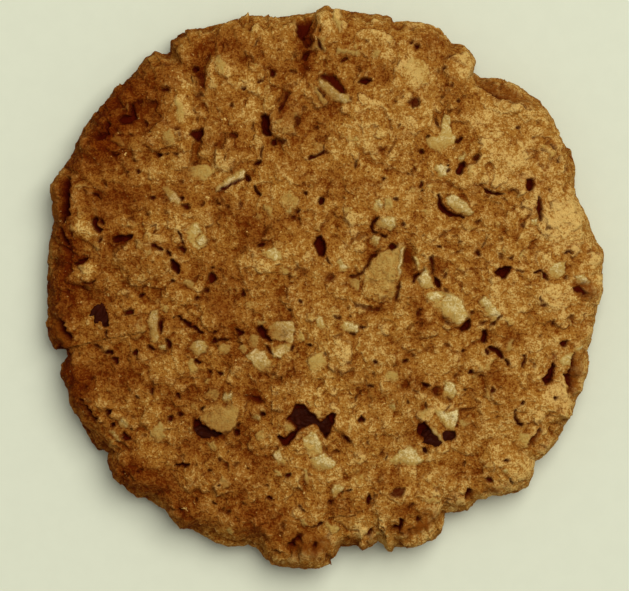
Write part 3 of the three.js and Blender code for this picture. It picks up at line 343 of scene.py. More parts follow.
# Cracks along their paths.
CRACKS = [Crack(*crack) for crack in (
    (0.4, 1.0, ((-15.2, 13.3), (-14.0, 13.9), (-12.5, 14.8), (-11.3, 15.3))),
    (0.5, 1.1, ((-9.9, 17.1), (-9.0, 17.9))),
    (0.25, 0.7, ((-9.0, 17.9), (-8.9, 19.0), (-8.5, 20.2))),
    (0.45, 1.2, ((-9.9, 14.1), (-9.4, 13.3), (-8.9, 12.8))),
    (0.4, 1.0, ((-2.5, 18.1), (-1.6, 18.3), (-0.5, 18.8), (0.0, 19.4), (0.1, 20.0))),
    (0.25, 0.7, ((4.2, 16.5), (4.4, 17.4), (4.7, 18.2))),
    (0.45, 1.1, ((22.2, 13.9), (23.0, 13.4), (24.0, 13.1), (25.1, 13.1))),
    (0.45, 0.7, ((7.9, 5.4), (6.8, 4.6), (6.1, 3.4), (5.4, 2.2), (4.6, 1.7), (3.4, 1.5))),
    (0.45, 0.7, ((10.6, 0.8), (10.3, -0.4), (9.9, -1.9))),
    (0.45, 1.1, ((7.4, 9.9), (6.9, 9.2), (6.6, 8.4), (6.8, 7.8), (7.6, 7.6))),
    (0.3, 0.8, ((1.2, -4.1), (2.4, -4.2))),
    (0.25, 0.7, ((1.2, -6.9), (1.8, -6.6), (2.4, -6.5))),
    (0.3, 0.7, ((3.4, -6.5), (4.3, -6.7))),
    (0.4, 1.0, ((-24.1, 6.1), (-23.3, 5.3), (-22.6, 5.2))),
    (0.5, 1.2, ((-22.1, 5.3), (-21.6, 4.5))),
    (0.4, 0.9, ((-20.5, 7.8), (-20.2, 6.8), (-19.8, 6.0))),
    (0.45, 1.1, ((-21.2, -4.4), (-20.4, -4.2), (-19.4, -4.9), (-18.2, -5.8), (-17.2, -6.4))),
    (0.3, 0.8, ((-15.8, -6.5), (-14.9, -6.1))),
    (0.3, 0.8, ((-15.6, -7.4), (-14.5, -7.3), (-13.3, -7.3))),
    (0.4, 1.0, ((-18.2, -10.1), (-17.2, -10.8))),
    (0.3, 0.8, ((-34.2, 0.5), (-33.2, 0.6), (-32.2, 1.1))),
    (0.5, 1.0, ((-35.6, 3.2), (-34.6, 3.7), (-33.6, 4.2))),
    (0.8, 1.2, ((23.2, -8.4), (24.0, -8.9), (25.0, -9.8))),
    (0.45, 0.9, ((25.5, -9.9), (25.7, -10.8))),
    (0.45, 1.0, ((29.3, 2.1), (30.3, 2.2), (31.3, 1.2))),
    (0.25, 0.7, ((26.5, 2.5), (28.3, 2.2))),
    (0.3, 0.9, ((33.6, 4.7), (34.4, 5.2), (35.3, 4.9))),
    (0.5, 1.2, ((-21.1, -25.2), (-20.2, -25.1), (-19.0, -25.1))),
    (0.3, 0.9, ((2.4, -29.0), (3.1, -28.6), (3.8, -28.3))),
    (0.4, 1.0, ((-1.9, -33.9), (-1.1, -33.6), (-0.4, -33.3))),
    (0.2, 0.5, ((-0.4, -33.3), (1.0, -32.4), (3.0, -32.2), (5.5, -31.5))),
    (0.3, 0.7, ((24.9, -3.9), (24.0, -4.7), (23.1, -5.7))),
    (0.4, 0.8, ((29.2, -22.8), (29.8, -21.9), (30.6, -20.8), (31.0, -19.6))),
    (0.3, 0.8, ((26.2, -27.0), (26.6, -27.6), (27.0, -28.2))),
    (0.3, 0.8, ((16.8, -17.7), (17.1, -17.1), (17.6, -16.5))),
    (0.3, 0.7, ((14.1, -15.9), (14.2, -17.3))),
    (0.45, 0.7, ((-6.5, 24.3), (-5.9, 25.5), (-5.2, 27.4))),
    (0.5, 1.0, ((32.2, 20.4), (32.3, 19.2))),
    (0.4, 0.8, ((32.9, 18.3), (33.0, 17.5))),
    (0.3, 0.7, ((34.1, 17.2), (34.2, 16.2))),
    (0.3, 0.7, ((26.3, 26.6), (27.6, 25.8), (29.4, 24.7))),
    (0.4, 0.7, ((-3.7, -30.8), (-2.7, -31.6))),
    (0.3, 0.7, ((4.0, -16.2), (4.4, -15.4), (5.4, -14.5))),
    (0.6, 0.8, ((30.2, 12.6), (30.3, 11.0), (30.3, 9.4))),
    (0.25, 0.7, ((22.0, 5.5), (22.5, 6.6), (23.1, 7.4))),
    (0.3, 0.7, ((-24.6, 8.7), (-23.8, 8.6), (-23.6, 7.6))),
    (0.3, 0.7, ((30.4, -0.6), (30.3, -1.6), (30.8, -2.5))),
    (0.3, 0.9, ((-1.0, 28.0), (-0.3, 27.0), (0.1, 26.3))),
    (0.25, 0.7, ((-9.1, 6.5), (-8.3, 7.8), (-7.5, 9.0))),
)]

# Small open pits: middle, length, width, turn and depth.
HOLES = [Hole(*hole) for hole in (
    (-9.0, 6.0, 1.0, 0.6, 30, 1.0), (-29.3, 18.6, 0.9, 0.5, 0, 0.8), (-32.0, 13.0, 1.4, 0.5, -40, 0.9),
    (-27.6, 16.2, 0.6, 0.5, 0, 0.7), (-26.2, 16.2, 0.7, 0.5, 60, 0.8), (-23.2, 18.6, 1.0, 0.6, 10, 1.3),
    (-22.2, 18.8, 0.6, 0.3, 0, 0.8), (-21.0, 18.8, 0.9, 0.5, 0, 0.7), (-20.7, 22.3, 0.9, 0.5, -20, 0.7),
    (-20.2, 21.5, 0.5, 0.5, 0, 0.6), (-25.4, 23.2, 0.8, 0.7, 0, 0.6), (-24.7, 21.9, 0.5, 0.4, 0, 0.6),
    (-22.6, 27.7, 1.0, 0.6, 0, 0.8), (-24.1, 27.8, 0.9, 0.4, 0, 0.5), (-18.5, 31.1, 0.9, 0.8, 0, 0.9),
    (-22.5, 31.7, 0.8, 0.5, 0, 0.9), (-17.4, 27.1, 1.2, 0.6, 0, 0.6), (-17.3, 29.3, 2.6, 0.9, 95, 0.6),
    (-16.3, 32.2, 1.4, 0.6, 40, 0.6), (-18.2, 17.5, 0.9, 0.4, 30, 0.6), (-13.0, 25.6, 0.6, 0.3, 0, 0.8),
    (-13.6, 33.9, 0.4, 0.4, 0, 0.6), (-12.7, 21.3, 0.9, 0.9, 0, 0.6), (-11.5, 28.0, 0.6, 0.6, 0, 0.8),
    (-9.1, 29.1, 1.1, 0.5, 20, 0.9), (-7.3, 30.1, 1.1, 0.8, 60, 1.0), (-4.4, 30.5, 1.0, 0.7, 0, 0.6),
    (-9.7, 34.7, 0.8, 0.4, 0, 0.7), (-6.4, 33.5, 1.0, 0.3, 0, 0.5), (-11.3, 33.2, 0.9, 0.4, 90, 0.5),
    (-3.9, 23.4, 1.2, 0.9, 90, 0.6), (-2.8, 25.2, 0.8, 0.6, 0, 0.5), (-5.0, 27.3, 0.5, 0.4, 0, 0.6),
    (-1.1, 22.4, 0.5, 0.4, 0, 0.8), (1.9, 20.9, 0.5, 0.3, 0, 0.7), (1.0, 20.4, 0.4, 0.2, 0, 0.5),
    (-6.0, 20.5, 1.2, 0.7, 0, 0.6), (8.3, 15.2, 0.8, 0.4, 15, 0.9), (12.3, 16.4, 0.5, 0.3, 0, 0.6),
    (2.7, 32.0, 1.2, 0.5, 25, 0.8), (5.9, 34.8, 1.1, 0.25, -10, 0.5), (12.0, 34.1, 0.6, 0.4, 0, 0.7),
    (12.8, 33.4, 0.9, 0.5, -20, 0.9), (12.2, 36.5, 0.6, 0.6, 0, 0.6), (-2.7, 32.8, 1.4, 0.9, 80, 0.7),
    (-0.6, 36.4, 0.5, 0.5, 0, 0.7), (17.6, 32.6, 0.7, 0.7, 0, 0.7), (16.6, 30.7, 0.6, 0.4, 30, 0.9),
    (15.9, 30.2, 0.4, 0.3, 0, 0.7), (17.9, 28.4, 0.5, 0.5, 0, 0.6), (17.0, 27.7, 0.6, 0.3, 40, 0.6),
    (18.8, 26.4, 0.7, 0.6, 0, 0.7), (16.5, 26.6, 0.6, 0.4, 30, 0.6), (17.5, 24.7, 0.5, 0.4, 0, 0.5),
    (18.9, 24.7, 0.5, 0.4, 60, 0.5), (15.7, 23.2, 1.6, 0.6, -70, 0.7), (14.5, 21.1, 0.7, 0.4, 45, 1.0),
    (13.6, 19.0, 0.8, 0.5, 90, 0.8), (13.4, 14.5, 1.0, 0.5, 90, 0.8), (13.6, 13.6, 0.5, 0.4, 0, 0.9),
    (18.8, 20.8, 1.4, 0.6, 40, 1.0), (21.2, 18.0, 1.2, 0.8, 70, 0.7), (17.4, 17.1, 0.5, 0.4, 0, 1.0),
    (17.3, 16.3, 0.5, 0.4, 0, 0.9), (26.8, 22.2, 0.5, 0.5, 0, 0.8), (30.4, 19.1, 1.0, 0.4, -40, 0.6),
    (29.3, 21.0, 0.5, 0.4, 0, 0.5), (31.5, 13.5, 0.9, 0.4, 90, 0.6), (-11.8, 11.6, 0.9, 0.7, 90, 0.7),
    (-13.6, 11.4, 0.7, 0.5, 0, 0.6), (-2.8, 13.2, 0.7, 0.5, 0, 0.9), (-0.5, 12.1, 1.4, 0.9, 85, 1.2),
    (-3.8, 10.6, 0.8, 0.5, 60, 0.8), (-3.7, 9.6, 0.6, 0.4, 0, 0.6), (-6.5, 9.3, 0.8, 0.4, 0, 0.5),
    (0.5, 3.6, 1.1, 0.35, -40, 0.9), (-5.0, 1.3, 0.7, 0.4, 90, 0.6), (-3.9, 2.9, 0.8, 0.6, 60, 0.5),
    (-11.5, -0.8, 1.0, 0.6, 60, 0.9), (-10.8, -0.5, 1.0, 0.25, 20, 0.6), (-3.4, -2.0, 0.5, 0.4, 0, 0.8),
    (-4.9, -3.3, 0.8, 0.4, -40, 0.9), (-8.1, -2.7, 0.4, 0.3, 0, 0.6), (-2.0, -8.2, 0.8, 0.4, 0, 1.0),
    (-4.5, -8.4, 1.1, 0.4, 50, 1.0), (0.2, -9.5, 0.6, 0.6, 0, 0.6), (7.0, -10.5, 0.7, 0.5, 60, 0.9),
    (11.3, -10.4, 1.2, 0.5, 20, 0.8), (9.8, -11.0, 0.7, 0.4, 0, 0.7), (12.5, -9.6, 0.6, 0.3, 40, 0.5),
    (6.4, -13.8, 1.0, 0.5, -20, 0.9), (6.9, -12.1, 0.8, 0.4, 90, 0.5), (13.3, -3.6, 1.3, 0.5, 80, 0.7),
    (13.4, -5.2, 1.0, 0.4, 90, 0.5), (5.3, -5.7, 1.1, 0.5, 0, 0.8), (3.5, -4.0, 0.4, 0.3, 0, 0.8),
    (0.9, 1.3, 1.3, 1.0, 0, 0.5), (10.9, 8.8, 0.8, 0.5, -50, 0.7), (9.9, 12.3, 0.8, 0.4, -35, 0.9),
    (11.6, 6.7, 0.5, 0.3, 0, 0.5), (13.8, 7.3, 0.4, 0.3, 0, 0.6), (4.5, 6.6, 0.5, 0.4, 0, 0.5),
    (2.7, 12.6, 0.5, 0.4, 0, 0.5), (25.3, 12.2, 0.8, 0.3, -60, 0.6), (24.2, 10.3, 0.8, 0.3, 80, 0.5),
    (27.9, 8.8, 1.0, 0.6, 70, 0.7), (21.6, 9.2, 0.8, 0.6, 60, 0.6), (31.3, 8.3, 0.7, 0.6, 0, 0.6),
    (16.1, 5.7, 0.8, 0.4, 15, 0.9), (18.1, 7.1, 0.5, 0.3, 0, 0.6), (18.9, 6.3, 0.6, 0.4, 30, 0.6),
    (21.6, 4.7, 0.8, 0.5, -30, 1.0), (26.1, 4.1, 0.7, 0.5, 50, 0.8), (16.9, 1.7, 0.9, 0.6, 60, 0.7),
    (17.1, -0.3, 0.9, 0.4, -30, 0.7), (34.0, 1.4, 1.2, 0.5, 30, 0.6), (30.8, -2.6, 0.9, 0.6, 0, 0.7),
    (20.7, -3.5, 0.8, 0.5, 60, 0.6), (17.2, -4.9, 1.4, 0.4, -25, 0.7), (19.4, -8.9, 0.6, 0.5, 60, 1.0),
    (20.5, -11.9, 0.8, 0.6, 0, 1.0), (22.9, -9.0, 0.8, 0.5, 90, 1.0), (30.4, -6.8, 0.8, 0.3, 80, 0.6),
    (32.1, -5.0, 1.0, 0.5, 80, 0.7), (34.6, -4.2, 0.8, 0.7, 0, 0.5), (14.2, -13.7, 0.9, 0.5, -20, 1.0),
    (15.6, -14.6, 1.6, 1.0, 70, 0.6), (19.7, -14.4, 0.5, 0.5, 0, 0.8), (23.6, -14.5, 0.9, 0.6, 20, 0.8),
    (24.9, -14.2, 0.5, 0.3, 0, 0.5), (28.0, -16.4, 0.7, 0.5, 50, 1.0), (24.2, -18.3, 0.6, 0.4, 60, 0.5),
    (32.4, -15.6, 0.8, 0.5, 0, 0.8), (25.7, -24.4, 1.0, 0.5, 10, 1.0), (19.5, -24.7, 0.7, 0.5, 60, 0.6),
    (13.2, -32.8, 0.7, 0.6, 0, 0.9), (12.1, -30.7, 1.3, 0.4, 25, 0.7), (8.7, -23.8, 1.0, 0.3, 70, 0.8),
    (6.0, -21.9, 0.8, 0.4, 90, 0.6), (1.7, -23.1, 1.3, 0.4, 10, 0.7), (-5.1, -26.4, 1.1, 0.5, 30, 0.9),
    (-12.5, -24.9, 0.9, 0.4, 0, 0.6), (-10.8, -25.3, 0.6, 0.3, -20, 0.7), (-7.7, -29.8, 1.0, 0.5, 0, 1.0),
    (-11.5, -30.5, 1.0, 0.3, 0, 0.6), (-9.7, -30.4, 0.7, 0.3, 0, 0.5), (6.1, -29.8, 1.1, 0.8, 80, 1.1),
    (1.0, -30.2, 1.0, 0.6, 30, 0.6), (-1.4, -36.3, 0.7, 0.6, 60, 0.8), (-6.9, -37.6, 1.3, 0.7, 0, 0.6),
    (3.1, -21.3, 1.5, 0.5, -35, 1.0), (-8.7, -17.8, 0.8, 0.6, 0, 1.1), (-12.3, -20.4, 0.9, 0.7, 60, 1.2),
    (-12.1, -19.3, 0.7, 0.4, 70, 0.8), (11.7, -16.1, 0.5, 0.5, 0, 0.7), (-5.5, -15.8, 0.5, 0.4, 0, 0.5),
    (-6.7, -14.9, 0.7, 0.4, 80, 0.5), (-34.2, -15.9, 1.0, 0.6, 0, 0.8), (-30.4, -17.5, 1.1, 0.8, 60, 0.9),
    (-29.9, -19.5, 0.7, 0.5, 0, 1.1), (-27.7, -20.9, 1.2, 0.8, -50, 0.9),
    (-26.8, -21.7, 1.2, 0.4, -45, 0.5), (-26.2, -15.5, 0.5, 0.4, 0, 0.7), (-24.2, -14.7, 1.1, 0.5, 75, 0.9),
    (-20.5, -15.2, 0.8, 0.5, -60, 0.8), (-20.2, -17.8, 0.8, 0.5, 0, 0.9), (-21.7, -18.4, 1.1, 0.8, 80, 1.0),
    (-17.2, -16.9, 0.9, 0.4, 50, 0.9), (-26.2, -25.8, 0.5, 0.5, 0, 0.8), (-25.6, -25.4, 0.5, 0.4, 0, 0.5),
    (-28.3, -26.0, 0.6, 0.5, 0, 0.7), (-16.1, -25.8, 0.6, 0.5, 0, 0.8), (-14.6, -24.1, 0.6, 0.5, 0, 0.8),
    (-14.9, -27.8, 0.5, 0.4, 0, 0.8), (-18.0, -29.7, 0.6, 0.5, 0, 0.6), (-15.4, -30.5, 0.7, 0.4, -40, 0.9),
    (-20.4, -31.4, 0.5, 0.4, 60, 0.7), (-13.6, -31.8, 0.6, 0.5, 0, 0.7), (-18.2, -24.8, 0.7, 0.3, 30, 0.6),
    (-31.8, -8.3, 0.9, 0.4, -20, 0.7), (-30.8, -6.7, 1.4, 0.35, 85, 0.7), (-26.4, -9.2, 0.9, 0.6, 70, 0.9),
    (-24.3, -8.4, 1.0, 0.6, -10, 1.0), (-22.9, -5.4, 2.2, 0.5, 85, 1.1), (-25.8, -1.2, 0.9, 0.6, 80, 0.9),
    (-25.3, 0.1, 0.9, 0.3, 55, 0.7), (-17.7, -6.2, 0.8, 0.6, 0, 1.0), (-17.9, -1.6, 0.8, 0.5, 20, 0.8),
    (-16.5, -0.4, 1.0, 0.6, 30, 0.8), (-15.8, 2.8, 0.5, 0.4, 0, 0.8), (-21.3, 0.9, 0.7, 0.5, 60, 0.7),
    (-17.2, 11.7, 0.7, 0.5, 60, 0.7), (-19.5, 11.4, 1.1, 0.6, -30, 0.8), (-20.1, 12.5, 0.6, 0.5, 0, 0.8),
    (-24.2, 12.7, 0.7, 0.6, 0, 0.8), (-27.3, 9.6, 1.0, 0.4, 30, 0.6), (-25.0, 10.2, 0.6, 0.4, 0, 0.7),
    (-31.2, 9.1, 1.1, 0.6, 80, 0.8), (-31.3, 6.7, 1.0, 0.6, 80, 0.7), (-15.5, -7.5, 0.9, 0.6, 0, 1.0),
    (-15.1, -8.2, 0.8, 0.3, 80, 0.6), (-14.6, -12.1, 1.4, 0.5, -15, 0.8), (-16.1, -11.9, 0.5, 0.4, 0, 0.8),
    (10.9, 26.6, 0.7, 0.3, 0, 0.6), (-10.8, 15.3, 1.1, 0.7, -45, 1.0), (-0.1, 19.1, 0.9, 0.8, 0, 0.6),
)]

# Places painted darker (above zero) or paler (below zero): partly baked darker or left paler, partly
# painted light on the swellings of the top and painted shade in its hollows.
TOAST_LIGHT_AND_SHADE = [Oval(*oval) for oval in (
    (-31.5, 22.0, 22.0, 8.0, 57, 0.32), (-37.0, 2.0, 30.0, 5.0, 90, 0.28),
    (-35.0, -14.0, 12.0, 5.0, -70, 0.35), (-24.0, -28.0, 18.0, 6.0, -42, 0.35),
    (-9.0, -33.0, 13.0, 6.0, 0, 0.4), (-17.5, 29.4, 5.0, 1.8, 95, 0.5), (-2.4, 34.5, 8.0, 3.0, 82, 0.7),
    (8.2, 29.6, 4.2, 3.2, 0, 0.3), (-5.6, 26.2, 5.0, 1.8, 65, 0.45), (17.6, 26.4, 6.0, 6.0, 0, 0.35),
    (15.0, 33.4, 6.0, 5.0, 0, 0.3), (11.5, 3.8, 4.4, 1.6, 95, 0.7), (13.4, -4.4, 5.0, 2.2, 95, 0.55),
    (0.9, 1.4, 1.8, 1.8, 0, 0.6), (25.2, -6.6, 5.0, 4.0, 0, 0.35), (15.8, 2.8, 3.4, 2.2, 90, 0.6),
    (15.6, -14.6, 2.4, 2.0, 90, 0.55), (-9.6, -15.5, 3.0, 1.4, -20, 0.5), (14.0, 20.2, 5.0, 2.4, 80, 0.4),
    (19.4, 23.0, 5.0, 3.0, 90, 0.3), (-12.0, 33.0, 14.0, 6.0, 0, 0.35), (-14.6, 22.0, 6.0, 6.0, 0, 0.15),
    (-12.0, -27.0, 8.0, 6.0, 0, 0.15), (8.0, -8.0, 5.0, 5.0, 0, 0.12), (-30.0, 12.0, 8.0, 6.0, 0, 0.2),
    (-28.0, -12.0, 8.0, 6.0, 0, 0.2), (-13.0, -10.0, 4.0, 3.0, 0, 0.3), (-5.0, -12.5, 5.0, 3.0, 0, 0.25),
    (-10.0, 8.0, 4.0, 8.0, 0, 0.25), (6.4, -15.0, 5.0, 3.0, 0, 0.25), (12.0, -14.0, 4.0, 4.0, 0, 0.25),
    (9.0, -27.0, 4.0, 3.0, 0, 0.4), (1.6, -30.8, 9.0, 3.4, 0, 0.35), (21.0, -20.0, 8.0, 6.0, 0, 0.15),
    (35.6, -5.0, 4.0, 4.0, 0, -0.3), (34.0, 2.6, 4.0, 2.0, 40, 0.3), (-26.0, 12.5, 6.0, 6.0, 0, 0.15),
    (-29.6, 27.0, 9.0, 3.0, 45, 0.2), (20.6, 20.8, 3.0, 3.0, 0, 0.3), (33.0, 9.0, 12.0, 8.0, -70, -0.38),
    (32.4, -1.2, 6.0, 5.0, 0, -0.35), (20.0, 31.4, 5.0, 3.2, 80, -0.6), (5.4, 20.6, 8.0, 4.0, 120, -0.3),
    (12.6, 29.9, 5.0, 4.6, 0, -0.5), (-19.6, 25.6, 8.0, 3.2, 90, -0.35), (-25.0, 3.6, 7.0, 6.0, 20, 0.08),
    (-34.0, 2.2, 4.0, 2.6, 10, -0.55), (-33.8, 8.2, 3.6, 2.8, 0, -0.5), (8.2, 11.6, 3.4, 2.8, 90, -0.35),
    (28.4, 11.4, 3.0, 4.0, 0, -0.35), (18.6, -29.8, 2.0, 3.0, 0, -0.5), (27.4, -28.0, 4.0, 2.0, 0, -0.5),
    (5.0, -34.8, 2.6, 3.0, 0, -1.1), (26.0, 21.0, 12.0, 8.0, -45, -0.25), (33.0, -15.0, 5.0, 5.0, 0, -0.6),
    (-19.0, 7.0, 4.0, 6.0, 0, -0.3), (-8.0, 4.0, 7.0, 4.0, 0, -0.25), (-16.0, 16.0, 8.0, 4.0, 30, -0.25),
    (4.8, 8.8, 3.4, 3.0, 0, -0.3), (17.0, -17.0, 5.0, 8.0, 0, -0.25), (-1.0, -23.5, 4.0, 8.0, 0, -0.25),
    (11.6, -24.0, 6.0, 4.0, 0, -0.25), (25.0, 16.0, 7.0, 6.0, 0, -0.25), (-22.5, 16.5, 6.0, 5.0, 0, -0.25),
    (23.5, -3.0, 4.0, 5.0, 0, -0.15), (17.0, -2.8, 7.0, 5.0, -30, -0.25), (1.4, 37.4, 3.0, 3.0, 0, -0.35),
    (-14.4, 31.0, 3.4, 4.4, 0, -0.3), (9.0, -11.0, 4.0, 6.0, 0, -0.15), (28.0, -25.4, 4.0, 4.0, 0, -0.3),
    (5.0, 24.0, 6.0, 4.0, 0, -0.2), (-1.2, -10.6, 3.4, 3.4, 0, -0.25), (24.0, -13.5, 8.0, 5.0, 0, 0.45),
    (28.0, -7.6, 6.0, 4.0, 0, 0.25), (19.6, -25.4, 9.0, 4.0, 0, 0.28), (12.0, -31.4, 5.0, 2.4, 0, 0.4),
    (30.6, -20.4, 4.0, 3.0, 55, -0.6), (0.8, -35.2, 3.0, 3.0, 0, -0.6), (-3.0, -37.8, 3.0, 1.6, 0, -0.4),
    (4.0, 0.6, 4.6, 3.6, 60, 0.35), (12.6, -0.8, 3.0, 2.4, 0, 0.3), (6.0, 4.6, 3.0, 2.4, 50, 0.3),
    (7.4, -3.2, 3.6, 1.6, 0, 0.35),
)]

# Places baked a deeper red brown.
LEDGE_STRENGTH = 1.1
LEDGES = [Oval(*oval, LEDGE_STRENGTH) for oval in (
    (25.8, 28.4, 10.0, 3.2, -30), (36.0, -12.4, 7.0, 1.8, 78), (-38.2, 12.6, 4.0, 1.0, 85),
    (-37.8, -6.6, 4.0, 1.8, -75), (-1.6, -36.4, 6.4, 3.2, 10), (37.4, -0.4, 4.2, 2.4, -30),
    (14.4, -32.8, 4.4, 3.0, 60), (12.0, -34.4, 5.0, 1.6, 10), (30.3, 11.0, 3.4, 0.9, 90),
    (23.4, -28.6, 3.6, 1.2, 10), (30.2, -21.6, 3.4, 0.9, 55), (34.8, 17.4, 2.4, 0.8, 80),
)]


# ------------------------------------------------------------------ what a user may change

def tint(red, green, blue):
    """A colour for the shaders from its usual 0 to 255 numbers."""
    shares = (red / 255, green / 255, blue / 255)
    return tuple(s / 12.92 if s <= 0.04045 else ((s + 0.055) / 1.055) ** 2.4 for s in shares)


def length(name, millimetres, description):
    """A length that a user may change."""
    return FloatProperty(name=name, description=description, default=millimetres * MM,
                         min=0.0, precision=5, unit="LENGTH", subtype="DISTANCE")


def colour(name, shade, description):
    """A colour that a user may change."""
    return FloatVectorProperty(name=name, description=description, default=shade,
                               size=3, min=0.0, max=1.0, subtype="COLOR")


class CookieSizes(bpy.types.PropertyGroup):
    """Sizes of the dough, and how much lies in it."""
    mean_radius: length("Mean radius", 38.85, "Of the ragged outline")
    crown_height: length("Crown height", 10.4, "Top of the dough at the middle")
    shoulder_height: length("Shoulder height", 8.2, "Where the top rolls over into the side")
    shoulder_inset: length("Shoulder inset", 3.6, "From the shoulder out to the widest point")
    belly_height: length("Belly height", 3.0, "Height of the side's widest point")
    foot_inset: length("Foot inset", 1.9, "From the widest point back in to the base")
    swell: length("Swell", 0.42, "Rise of the soft lumps all over the dough")
    clods: length("Clods", 0.40, "Rise of the clods that the dough has crumbled into")
    grit: length("Grit", 0.11, "Rise of the grains that the clods are made of")
    buried_oats: IntProperty(name="Buried oats", description="Oats that the dough covers",
                             default=230, min=0, max=2000)
    loose_oats: IntProperty(name="Small oats", description="Small broken plates of oat and crust",
                            default=1300, min=0, max=4000)
    pin_holes: IntProperty(name="Pin holes", description="Small random pits",
                           default=450, min=0, max=9000)
    seed: IntProperty(name="Seed", description="Of everything random", default=29, min=1)


class CookieColours(bpy.types.PropertyGroup):
    """Colours of the cookie and of the ground."""
    dough: colour("Dough", tint(160, 108, 39), "Baked dough")
    # The dark end of the dough's tones is also painted shade in the hollows between grains, and the pale
    # crumb colour also painted light on raised parts.
    toasted_and_shaded: colour("Toasted dough", tint(115, 54, 4), "Hollows between the grains")
    crumb: colour("Pale crumb", tint(208, 170, 96), "The palest grains of the dough")
    bran: colour("Oat under a film of dough", tint(172, 140, 70), "Oats that the dough half hides")
    oat: colour("Oat", tint(222, 204, 146), "Oats that lie bare")
    ledge: colour("Red-brown edge", tint(118, 62, 12), "Edges baked a deeper colour")
    # Painted shade at the bottom of pits, cracks, gaps and pores.
    pit: colour("Pit", tint(66, 12, 1), "The bottom of pits and cracks")
    raisin: colour("Raisin", tint(44, 12, 3), "The raisins' skin")
    ground: colour("Ground", tint(213, 217, 194), "The pale ground that the cookie lies on")


class StageSettings(bpy.types.PropertyGroup):
    """The camera and the lights."""
    frame_width: length("View width", 88.06, "Width of what the camera sees at the rim's height")
    view_x: FloatProperty(name="View x", description="Middle of the view", default=-1.4 * MM,
                          unit="LENGTH", precision=5)
    view_y: FloatProperty(name="View y", description="Middle of the view", default=-1.12 * MM,
                          unit="LENGTH", precision=5)
    lens: FloatProperty(name="Lens", description="Focal length in millimetres", default=300.0, min=20.0)
    key_power: FloatProperty(name="Key light", description="Of the large soft light", default=24.5,
                             min=0.0, unit="POWER")
    fill: FloatProperty(name="Fill light", description="Strength of the light all round", default=0.35,
                        min=0.0)


# ------------------------------------------------------------------ numbers and noise

RAGGED = 0.12                   # of the outline's finest unevenness


def rolling(x, y, size, seed):
    """Smooth noise between about -1 and 1, with lumps `size` across."""
    turns = np.random.default_rng(seed).uniform(0, 2 * math.pi, (256, 256))
    u, v = x / size + 128.37, y / size + 128.71
    col, row = np.floor(u).astype(int), np.floor(v).astype(int)
    u, v = u - col, v - row

    def corner(right, up):
        turn = turns[(row + up) % 256, (col + right) % 256]
        return np.cos(turn) * (u - right) + np.sin(turn) * (v - up)

    ease_u, ease_v = (share ** 3 * (share * (share * 6 - 15) + 10) for share in (u, v))
    low = corner(0, 0) * (1 - ease_u) + corner(1, 0) * ease_u
    high = corner(0, 1) * (1 - ease_u) + corner(1, 1) * ease_u
    return 1.5 * (low * (1 - ease_v) + high * ease_v)


def clods(x, y, size, seed):
    """Irregular cells about `size` across: distance in from a cell's edge, a random share of each cell,
    and a slope of each cell's own."""
    shares = np.random.default_rng(seed).random((256, 256, 5))
    u, v = x / size + 128.0, y / size + 128.0
    col, row = np.floor(u).astype(int), np.floor(v).astype(int)
    first = np.full(x.shape, 9.0)
    second = first.copy()
    kind, slope = np.zeros_like(first), np.zeros_like(first)
    for up in (-1, 0, 1):
        for right in (-1, 0, 1):
            draw = shares[(row + up) % 256, (col + right) % 256]
            du, dv = col + right + draw[..., 0] - u, row + up + draw[..., 1] - v
            away = np.hypot(du, dv)
            nearer = away < first
            second = np.where(nearer, first, np.minimum(second, away))
            first = np.where(nearer, away, first)
            kind = np.where(nearer, draw[..., 2], kind)
            slope = np.where(nearer, du * (draw[..., 3] - 0.5) + dv * (draw[..., 4] - 0.5), slope)
    return (second - first) * size / 2, kind, slope


def step(low, high, value):
    """0 below `low`, 1 above `high` and smooth between."""
    t = np.clip((value - low) / (high - low), 0, 1)
    return t * t * (3 - 2 * t)


def blur(values, spread):
    """`values` of a sheet, smoothed over `spread` millimetres."""
    rows = np.fft.fftfreq(values.shape[0], CELL)[:, None]
    cols = np.fft.rfftfreq(values.shape[1], CELL)[None, :]
    keep = np.exp(-2 * (math.pi * spread) ** 2 * (rows ** 2 + cols ** 2))
    return np.fft.irfft2(np.fft.rfft2(values) * keep, values.shape)


def turned(x, y, turn):
    """Distances along and across a direction `turn` degrees from +X."""
    east, north = math.cos(math.radians(turn)), math.sin(math.radians(turn))
    return x * east + y * north, y * east - x * north


def round_and_round(bearing, at, values):
    """`values` known at some bearings, straight between them and all the way round."""
    order = np.argsort(at)
    return np.interp(bearing, at[order], values[order], period=2 * math.pi)


def rim_radius(bearing, mean):
    """The outline's radius at a bearing in radians, through its corners."""
    x, y = np.array(OUTLINE).T
    radius, corner = np.hypot(x, y), np.arctan2(y, x)
    evenly = np.linspace(0, 2 * math.pi, 720, endpoint=False)
    usual = round_and_round(evenly, corner, radius).mean()
    ragged = RAGGED * rolling(mean * np.cos(bearing), mean * np.sin(bearing), 0.9, 15)
    return round_and_round(bearing, corner, radius) * mean / usual + ragged


# ------------------------------------------------------------------ the dough's skin, unrolled flat

CELL = 0.1                      # of the sheet
SHEET_REACH = 49.2              # from its middle to each edge
SKIN_REACH = 47.0               # from its middle to just past the foot of the side
STREWN_REACH = 46.0             # from its middle to the furthest random oats and pits
NEARER = 1.01                   # how much larger the top looks from the camera than the outline does
STEEP = 2.6                     # slope of an oat's edge
CUT = 0.85                      # share of a pit's or crack's depth that is cut out of the dough


